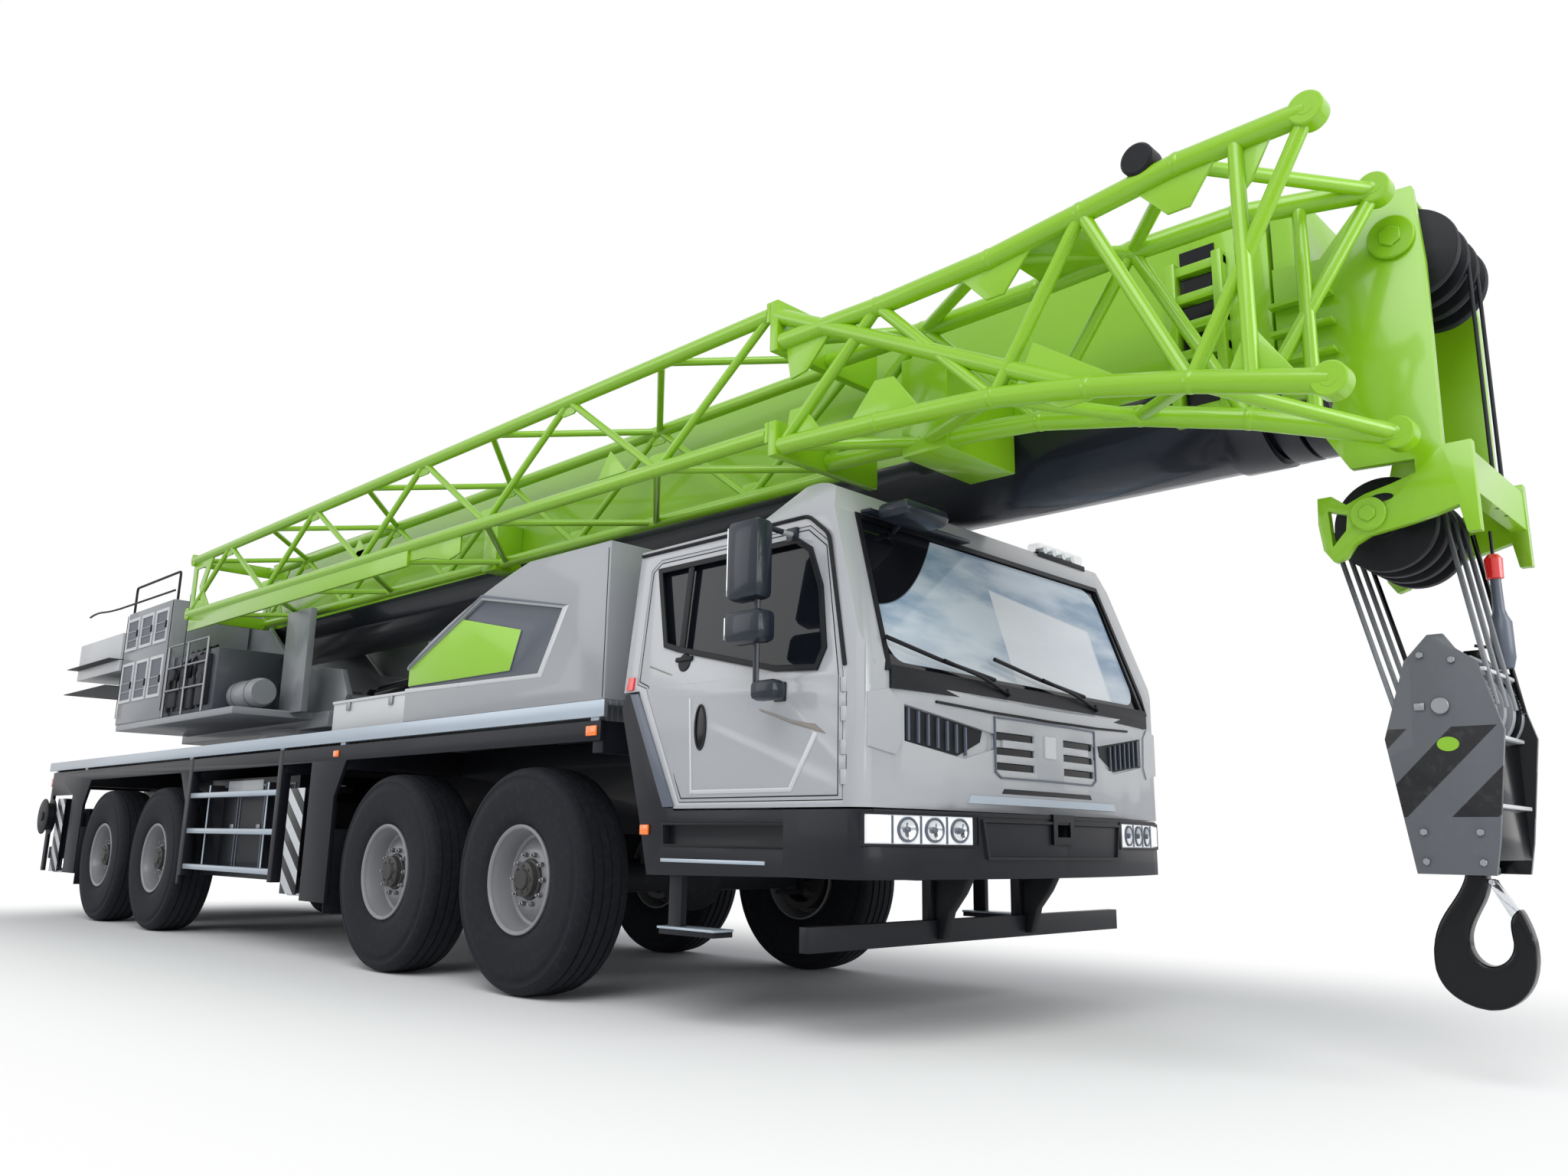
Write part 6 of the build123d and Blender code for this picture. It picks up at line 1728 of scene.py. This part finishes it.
@dataclass
class BoomHead(Workshop):
    """Collars, bolts and ropes at the boom's head, and the pipe along the boom."""

    head: str = "telescope_3"
    base: str = "boom"
    sheave_x: float = 7.60
    sheave_z: float = 3.63
    sheaves: int = 4
    sheave_pitch: float = 0.15

    def build(self) -> None:
        """Dress the head, then the base section."""
        self.bosses()
        self.ropes()
        self.guards()
        self.collars()
        self.pipe()

    def bosses(self) -> None:
        """Axle bosses and ribs on both cheeks of the head."""
        rod, plate = self.rod, self.plate
        bosses, ribs = [], []
        for side in (1, -1):
            for x, z, r in ((self.sheave_x, self.sheave_z, 0.10), (7.40, 2.39, 0.075)):
                bosses.append(rod("boss", (x, side * 0.448, z), (x, side * 0.474, z), r, 32, 0.006))
                bosses.append(rod("axle", (x, side * 0.470, z), (x, side * 0.486, z), r * 0.5, 6, 0.003))
            for z in (3.16, 3.30, 3.44):
                outline = [(7.06, z), (7.34, z), (7.34, z + 0.022), (7.06, z + 0.022)]
                ribs.append(plate("rib", outline, side * 0.447, side * 0.51))
        self.group("head_bosses", bosses, self.head, Look.GREEN)
        self.group("head_ribs", ribs, self.head, Look.GREEN)

    def ropes(self) -> None:
        """Two taut ropes before the head and the turns that lie on the sheaves."""
        ropes = [self.rod("rope", (7.806, y, 3.60), (7.806, y, 2.42), 0.009, 12, 0) for y in (-0.075, 0.075)]
        self.group("head_ropes", ropes, self.head, Look.ROPE)
        first = -self.sheave_pitch * (self.sheaves - 1) / 2
        turn = self.lathe("coil", [(0.2153, -0.012), (0.2153, 0.012), (0.2195, 0.0)], (0, 0, 0), "Y", 48)
        places = [(self.sheave_x, first + i * self.sheave_pitch, self.sheave_z) for i in range(self.sheaves)]
        coils = [self.copy(turn, Matrix.Translation(place)) for place in places]
        bpy.data.objects.remove(turn)
        self.group("sheave_ropes", coils, self.head, Look.ROPE)

    def guards(self) -> None:
        """Guard bars before the sheaves and the bracket's slot."""
        guards = [self.rod("guard", (x, -0.40, z), (x, 0.40, z), 0.014, 14)
                  for x, z in ((7.66, 3.855), (7.47, 3.80), (7.20, 2.32))]
        self.group("head_guards", guards, self.head, Look.GREEN)
        slot = self.plate("bracket_slot", oval((7.455, 2.455), (0.050, 0.018)), -0.452, 0.452, "Y", 0)
        self.done(slot, self.head, Look.BLACK)

    def collars(self) -> None:
        """The ladder of ties and dark slots at the base section's front."""
        block = self.block
        collars, slots = [], []
        for side in (1, -1):
            near = side * 0.43
            for x in (6.56, 6.80):
                collars.append(block("collar", (x, x + 0.05), (near, side * 0.50), (2.98, 3.84), 0.006))
            for z in (3.02, 3.17, 3.32, 3.47, 3.62, 3.77):
                collars.append(block("tie", (6.56, 6.85), (near, side * 0.475), (z, z + 0.05), 0.004))
                deep = (side * 0.432, side * 0.441)
                slots.append(block("slot", (6.615, 6.795), deep, (z + 0.055, z + 0.14), 0))
        self.group("boom_collars", collars, self.base, Look.GREEN)
        self.group("boom_collar_slots", slots, self.base, Look.BLACK)

    def pipe(self) -> None:
        """The pipe on the boom's left side with its clips, and the frame at its rear end."""
        block, done = self.block, self.done
        line = [(-4.2, 0.46, 3.72), (6.3, 0.46, 3.72), (6.42, 0.46, 3.70), (6.5, 0.44, 3.6)]
        done(self.hose("boom_pipe", line, 0.016, corner=0.1), self.base, Look.BLACK)
        clips = [block("clip", (x, x + 0.05), (0.428, 0.482), (3.695, 3.745), 0.004)
                 for x in (-4.0, -2.5, -1.0, 0.5, 2.0, 3.5, 5.0, 6.1)]
        self.group("boom_clips", clips, self.base, Look.STEEL)
        rear = block("boom_end_frame", (-4.36, -4.30), (-0.435, 0.435), (3.30, 3.40), 0.004)
        done(rear, self.base, Look.GREEN)


@dataclass
class HookBlock(Workshop):
    """What hangs with the block: hoist weight, latch, oval badge without a mark, nuts."""

    body: str = "hook_block"
    cheek: float = 0.288
    inner: float = 0.263
    weight_x: float = 7.72
    weight_y: float = 0.15

    def build(self) -> None:
        """Dress the block and the hook."""
        self.cheeks()
        self.inside()
        self.weight()
        self.latch()

    def cheeks(self) -> None:
        """Badge, axle cap, its plate and the bolts on both cheeks."""
        block, rod, done = self.block, self.rod, self.done
        face = self.cheek + 0.0055
        badge = self.plate("block_badge", oval((7.575, 1.40), (0.042, 0.030)), -face, face, "Y", 0)
        done(badge, self.body, Look.GREEN)
        nuts = []
        for side in (1, -1):
            y = side * self.cheek
            nuts.append(rod("cap", (7.56, y, 1.56), (7.56, y + side * 0.018, 1.56), 0.036, 24, 0.004))
            nuts.append(block("latch_plate", (7.46, 7.50), (y, y + side * 0.010), (1.545, 1.575), 0.002))
            for x, z in ((7.45, 0.92), (7.66, 0.92), (7.45, 1.04), (7.66, 1.04), (7.50, 1.78), (7.62, 1.75)):
                nuts.append(rod("bolt", (x, y, z), (x, y + side * 0.014, z), 0.016, 6, 0.002))
        self.group("block_nuts", nuts, self.body, Look.STEEL)

    def inside(self) -> None:
        """Shelves and dark plates between the cheeks."""
        block, done, wide = self.block, self.done, (-self.inner, self.inner)
        shelves = [block("shelf", (7.50, 7.735), wide, (z, z + 0.016), 0.003) for z in (1.14, 1.43, 1.70)]
        self.group("block_shelves", shelves, self.body, Look.PALE)
        plates = [block("inside", (x, x + 0.012), wide, z, 0.002)
                  for x, z in ((7.700, (1.155, 1.43)), (7.66, (1.446, 1.70)), (7.700, (0.93, 1.14)))]
        self.group("block_inside", plates, self.body, Look.BLACK)
        done(block("block_liner", (7.43, 7.69), (-0.266, 0.266), (1.75, 1.765), 0.003), self.body, Look.BODY)

    def weight(self) -> None:
        """The weight of the hoist's limit switch, its red head and its chains."""
        lathe, rod, done = self.lathe, self.rod, self.done
        x, y = self.weight_x, self.weight_y
        profile = [(0.0, 1.75), (0.034, 1.755), (0.046, 1.80), (0.046, 1.96), (0.032, 1.99), (0.024, 2.02),
                   (0.022, 2.16), (0.0, 2.16)]
        done(lathe("hoist_weight", profile, (x, y, 0), "Z", 28), self.body, Look.SLATE)
        # the switch's red head takes the red lamp lens, which glows faintly: painted light on a part that is
        # no lamp
        profile = [(0.0, 2.15), (0.035, 2.16), (0.038, 2.25), (0.022, 2.27), (0.0, 2.27)]
        done(lathe("hoist_switch", profile, (x, y, 0), "Z", 28), self.body, Look.RED)
        chains = [rod("hoist_chain", (x, y, 2.26), (x, y, 2.38), 0.007, 10, 0),
                  rod("hoist_chain", (7.62, 0.10, 1.86), (x, y, 1.84), 0.007, 10, 0)]
        self.group("hoist_chain", chains, self.body, Look.ROPE)

    def latch(self) -> None:
        """The hook's latch and the collar on its shank."""
        rod, done = self.rod, self.done
        outline = [(7.60, 0.84), (7.63, 0.85), (7.715, 0.70), (7.70, 0.685), (7.67, 0.70)]
        latch = [self.plate("latch", outline, -0.02, 0.02),
                 rod("pin", (7.615, -0.03, 0.84), (7.615, 0.03, 0.84), 0.012, 12)]
        self.group("hook_latch", latch, "hook", Look.CHROME)
        profile = [(0.044, 0.868), (0.085, 0.870), (0.088, 0.895), (0.080, 0.915), (0.044, 0.918)]
        done(self.lathe("hook_collar", profile, (7.56, 0, 0), "Z", 36), "hook", Look.BLACK)


@dataclass
class Upper(Workshop):
    """Machinery house, turntable, operator's cab and counterweight."""

    body: str = "superstructure"
    wall: float = -1.398
    bay: float = -1.385
    tank: Point = (0, -1.12, 2.30)

    def build(self) -> None:
        """Dress the superstructure."""
        self.house()
        self.turntable()
        self.machinery()
        self.weight()
        self.operator()

    def house(self) -> None:
        """Doors, windows, vents and handles of the machinery house."""
        block, done, wall = self.block, self.done, self.wall
        frames, panes, slats, knobs = [], [], [], []
        for x0, x1 in ((-5.86, -5.46), (-5.40, -5.00), (-4.94, -4.54)):
            for z0, z1 in ((2.98, 3.36), (2.38, 2.84)):
                outline = [(x0, z0), (x1, z0), (x1, z1), (x0, z1)]
                frames.append(self.band("frame", outline, 0.035, wall - 0.016, wall))
                x, z = (x0 + 0.03, x1 - 0.03), (z0 + 0.03, z1 - 0.03)
                panes.append(block("pane", x, (wall, wall - 0.006), z, 0))
                slats += [block("slat", (x0 + 0.04, x1 - 0.04), (-1.402, -1.411), (z, z + 0.012), 0)
                          for z in (z0 + 0.12, z0 + 0.22)]
                grip = (z0 + 0.15, z0 + 0.23)
                knobs.append(block("knob", (x1 - 0.03, x1 - 0.012), (-1.412, -1.43), grip, 0.004))
        self.group("house_frames", frames, self.body, Look.PALE)
        self.group("house_panes", panes, self.body, Look.INSET)
        self.group("house_slats", slats, self.body, Look.BODY)
        self.group("house_knobs", knobs, self.body, Look.TRIM)
        seams = [block("seam", (x, x + 0.008), (-1.397, -1.403), (2.22, 3.42), 0)
                 for x in (-5.93, -4.48, -3.98)]
        self.group("house_seams", seams, self.body, Look.TRIM)
        rail = [(-6.0, -1.32, 3.44), (-6.0, -1.32, 3.78), (-4.6, -1.32, 3.78), (-4.6, -1.32, 3.44)]
        done(self.hose("house_rail", rail, 0.014, corner=0.08), self.body, Look.TRIM)
        pipe = [(-7.5, -1.38, 3.60), (-7.2, -1.40, 3.62), (-6.6, -1.40, 3.56), (-5.8, -1.40, 3.55),
                (-4.6, -1.36, 3.56)]
        done(self.hose("house_pipe", pipe, 0.012), self.body, Look.TRIM)

    def turntable(self) -> None:
        """Pins, valve blocks, hoses and a round tank by the boom's foot."""
        block, done, rod = self.block, self.done, self.rod
        pins = []
        for side in (1, -1):
            for x, z, near, far, radius, sides in ((-4.65, 3.2, 0.528, 0.60, 0.10, 32),
                                                   (-2.35, 2.30, 0.20, 0.46, 0.075, 28)):
                pins.append(rod("pin", (x, side * near, z), (x, side * far, z), radius, sides, 0.01))
        self.group("boom_pins", pins, self.body, Look.STEEL)
        valves = [block("valve", (x, x + 0.16), (-0.60, -0.72), (2.16, 2.34), 0.008)
                  for x in (-3.9, -3.7, -3.5, -3.3)]
        valves += [block("valve_base", (-3.95, -3.05), (-0.58, -0.76), (2.142, 2.17), 0.004)]
        self.group("valve_blocks", valves, self.body, Look.CAST)
        hoses = []
        for i in range(7):
            x = -3.86 + i * 0.12
            line = [(x, -0.66, 2.33), (x + 0.02, -0.70, 2.52 + 0.03 * i), (x - 0.3, -0.62, 2.70 + 0.02 * i),
                    (x - 0.62, -0.575, 2.58), (x - 0.7, -0.56, 2.30)]
            hoses.append(self.hose("hose", line, 0.014))
        self.group("turntable_hoses", hoses, self.body, Look.TRIM)
        shell = [(0.0, -3.1), (0.12, -3.1), (0.14, -3.06), (0.14, -2.54), (0.12, -2.5), (0.0, -2.5)]
        done(self.lathe("round_tank", shell, self.tank, "X", 36), self.body, Look.BODY)
        straps = [self.lathe("strap", [(0.141, x), (0.146, x), (0.146, x + 0.03), (0.141, x + 0.03)],
                             self.tank, "X", 36) for x in (-2.98, -2.66)]
        self.group("tank_straps", straps, self.body, Look.STEEL)

    def machinery(self) -> None:
        """Pump units, pipes and rails on the dark bay beside the boom's foot."""
        rod, y = self.rod, self.bay
        pumps = [self.block("pump", x, (-1.31, -1.37), z, 0.012)
                 for x, z in (((-4.42, -4.16), (2.24, 2.44)), ((-4.10, -3.90), (2.20, 2.66)),
                              ((-3.84, -3.70), (2.20, 2.52)), ((-3.62, -3.36), (2.22, 2.74)))]
        pumps += [rod("motor", (x, -1.31, z), (x, y, z), 0.075, 28, 0.012)
                  for x, z in ((-4.30, 2.60), (-4.00, 2.48), (-3.50, 2.48))]
        self.group("pump_units", pumps, self.body, Look.CAST)
        pipes = []
        for step in range(6):
            x = -4.42 + step * 0.17
            line = [(x, -1.345, 2.20), (x, -1.35, 2.50 + 0.04 * (step % 3)),
                    (x + 0.10, -1.35, 2.62 + 0.03 * step), (x + 0.10, -1.24, 2.84)]
            pipes.append(self.hose("pipe", line, 0.016, corner=0.05))
        self.group("pump_pipes", pipes, self.body, Look.BLACK)
        rails = [rod("rail", (-4.44, y, z), (-3.34, y, z), 0.011, 14) for z in (2.42, 2.66, 2.90)]
        rails += [rod("post", (x, y, 2.145), (x, y, 2.90), 0.013, 14) for x in (-4.44, -3.89, -3.34)]
        self.group("machinery_rails", rails, self.body, Look.STEEL)

    def weight(self) -> None:
        """Seams and eyes of the counterweight, placed by its own height."""
        heights = [corner[2] for corner in frame["nodes"]["counterweight"].bound_box]
        low, top = min(heights), max(heights)
        seams = [self.block("weight_seams", (-7.702, -6.108), (-1.502, 1.502), (z - 0.004, z + 0.004), 0)
                 for z in (low + (top - low) / 3, low + (top - low) * 2 / 3)]
        self.group("weight_seams", seams, self.body, Look.TRIM)
        eyes = []
        for x in (-7.45, -6.40):
            for y in (-1.2, 1.2):
                line = [(x - 0.06, y, top - 0.01), (x - 0.05, y, top + 0.07), (x + 0.05, y, top + 0.07),
                        (x + 0.06, y, top - 0.01)]
                eyes.append(self.hose("eye", line, 0.014, corner=0.03))
        self.group("weight_eyes", eyes, self.body, Look.STEEL)

    def operator(self) -> None:
        """Grab bar, lamp and door handle of the operator's cab."""
        block, done = self.block, self.done
        grab = [(-2.86, 1.47, 2.45), (-2.86, 1.50, 2.47), (-2.86, 1.50, 3.05), (-2.86, 1.47, 3.07)]
        done(self.hose("operator_grab", grab, 0.012, corner=0.02), self.body, Look.TRIM)
        lamp = block("operator_lamp", (-2.62, -2.50), (0.98, 1.16), (3.56, 3.64), 0.015)
        done(lamp, self.body, Look.LAMP_WHITE)
        handle = block("operator_handle", (-3.76, -3.70), (1.49, 1.51), (2.62, 2.80), 0.006)
        done(handle, "operator_sliding_door", Look.TRIM)


@dataclass
class Chassis(Workshop):
    """Ladders, lockers, mud flaps, tail and deck fittings of the carrier."""

    rear: float = -7.70
    reel: Point = (-7.58, -1.52, 1.12)
    lid: float = 2.005

    def build(self) -> None:
        """Dress the carrier from front to rear."""
        self.flank()
        self.tail()
        self.deck()

    def flank(self) -> None:
        """Ladder and lockers between the axle pairs, mud flaps and steps, on both sides."""
        block, both = self.block, self.both
        posts = [self.plate("ladder_post", [(x, 1.66), (x + 0.08, 1.66), (x + 0.08, 0.56), (x, 0.56)],
                            -1.482, -1.40) for x in (-3.16, -1.12)]
        both(self.join("ladder_posts", posts), "carrier", Look.NAVY)
        rungs = [block("ladder_caps", (-3.10, -1.10), (-1.398, -1.4735), (z, z + 0.049), 0.008)
                 for z in (0.6185, 0.9485, 1.2785)]
        both(self.join("ladder_caps", rungs), "carrier", Look.SILVER)
        doors, knobs = [], []
        for x0, x1 in ((-3.06, -2.44), (-2.40, -1.84), (-1.80, -1.24)):
            outline = [(x0, 0.62), (x1, 0.62), (x1, 1.40), (x0, 1.40)]
            doors.append(self.band("locker_door", outline, 0.02, -1.268, -1.258))
            knobs.append(block("knob", (x1 - 0.12, x1 - 0.04), (-1.258, -1.28), (0.98, 1.04), 0.006))
        both(self.join("locker_doors", doors), "carrier", Look.SLATE)
        both(self.join("locker_knobs", knobs), "carrier", Look.STEEL)
        panel = block("locker_panel", (-2.70, -1.91), (-1.258, -1.272), (1.30, 1.44), 0.004)
        both(panel, "carrier", Look.PALE)
        flaps = [block("mud_flaps", (x, x + 0.012), (-1.47, -1.11), (0.36, 1.0), 0.003)
                 for x in (-6.37, -0.075)]
        both(self.join("mud_flaps", flaps), "carrier", Look.TRIM)
        treads = [block("step_treads", (-0.47, -0.17), (-1.32, -1.452), (z, z + 0.012), 0.003)
                  for z in (0.631, 0.986, 1.336)]
        both(self.join("step_treads", treads), "carrier", Look.SILVER)

    def tail(self) -> None:
        """Bar, blank plate and coupling at the tail, and the disc on the rear right outrigger beam."""
        block, rod, done, rear = self.block, self.rod, self.done, self.rear
        bars = [block("rear_bar", (-7.78, rear), (-1.40, 1.40), (0.62, 0.76), 0.01)]
        bars += [block("stay", (-7.76, rear), (y - 0.04, y + 0.04), (0.74, 1.30), 0.006) for y in (0.6, -0.6)]
        self.group("rear_bar", bars, "carrier", Look.NAVY)
        done(block("rear_plate", (-7.712, rear), (-0.26, 0.26), (1.32, 1.44), 0.004), "carrier", Look.PALE)
        jaw = [block("coupling", (-7.80, rear), (-0.12, 0.12), (z, z + 0.08), 0.01) for z in (0.90, 1.08)]
        jaw.append(rod("coupling_pin", (-7.76, 0, 0.86), (-7.76, 0, 1.22), 0.03, 20))
        self.group("coupling", jaw, "carrier", Look.CAST)
        half = [(0.21, 0.045), (0.21, 0.035), (0.16, 0.03)]
        profile = [(0.05, -0.05), (0.20, -0.05)] + [(radius, -away) for radius, away in half]
        profile += half[::-1] + [(0.20, 0.05), (0.05, 0.05)]
        x, y, z = self.reel
        disc = self.lathe("tail_reel", profile, self.reel, "Y", 40)
        hub = rod("reel_hub", (x, y + 0.08, z), (x, y - 0.065, z), 0.055, 24, 0.006)
        self.group("tail_reel", [disc, hub], "outrigger_rear_right", Look.TRIM)

    def deck(self) -> None:
        """Hatches on the deck and the lid and latches of the box behind the cab."""
        block, done = self.block, self.done
        hatches = [block("deck_hatches", (x, x + 0.62), (-1.30, -0.72), (1.770, 1.778), 0.003)
                   for x in (-7.55, -6.85, -1.9, -1.2)]
        self.both(self.join("deck_hatches", hatches), "carrier", Look.DECK)
        done(block("box_lid", (-0.41, 0.88), (-1.39, -0.61), (self.lid, 2.03), 0.006), "carrier", Look.PALE)
        latches = [block("latch", (x, x + 0.06), (-1.382, -1.396), (1.94, self.lid + 0.005), 0.004)
                   for x in (-0.15, 0.55)]
        self.group("box_latches", latches, "carrier", Look.STEEL)


def main() -> None:
    """Set the stage and dress the machine group by group, each finished piece logging its face count."""
    logging.basicConfig(level=logging.INFO)
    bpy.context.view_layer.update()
    for part in (Studio(), Skins(), Wheels(), Jib(), CabTrim(), Front(), Fairing(), BoomHead(), HookBlock(),
                 Upper(), Chassis()):
        log.info("%s", type(part).__name__)
        part.build()


if __name__ == "__main__":
    main()
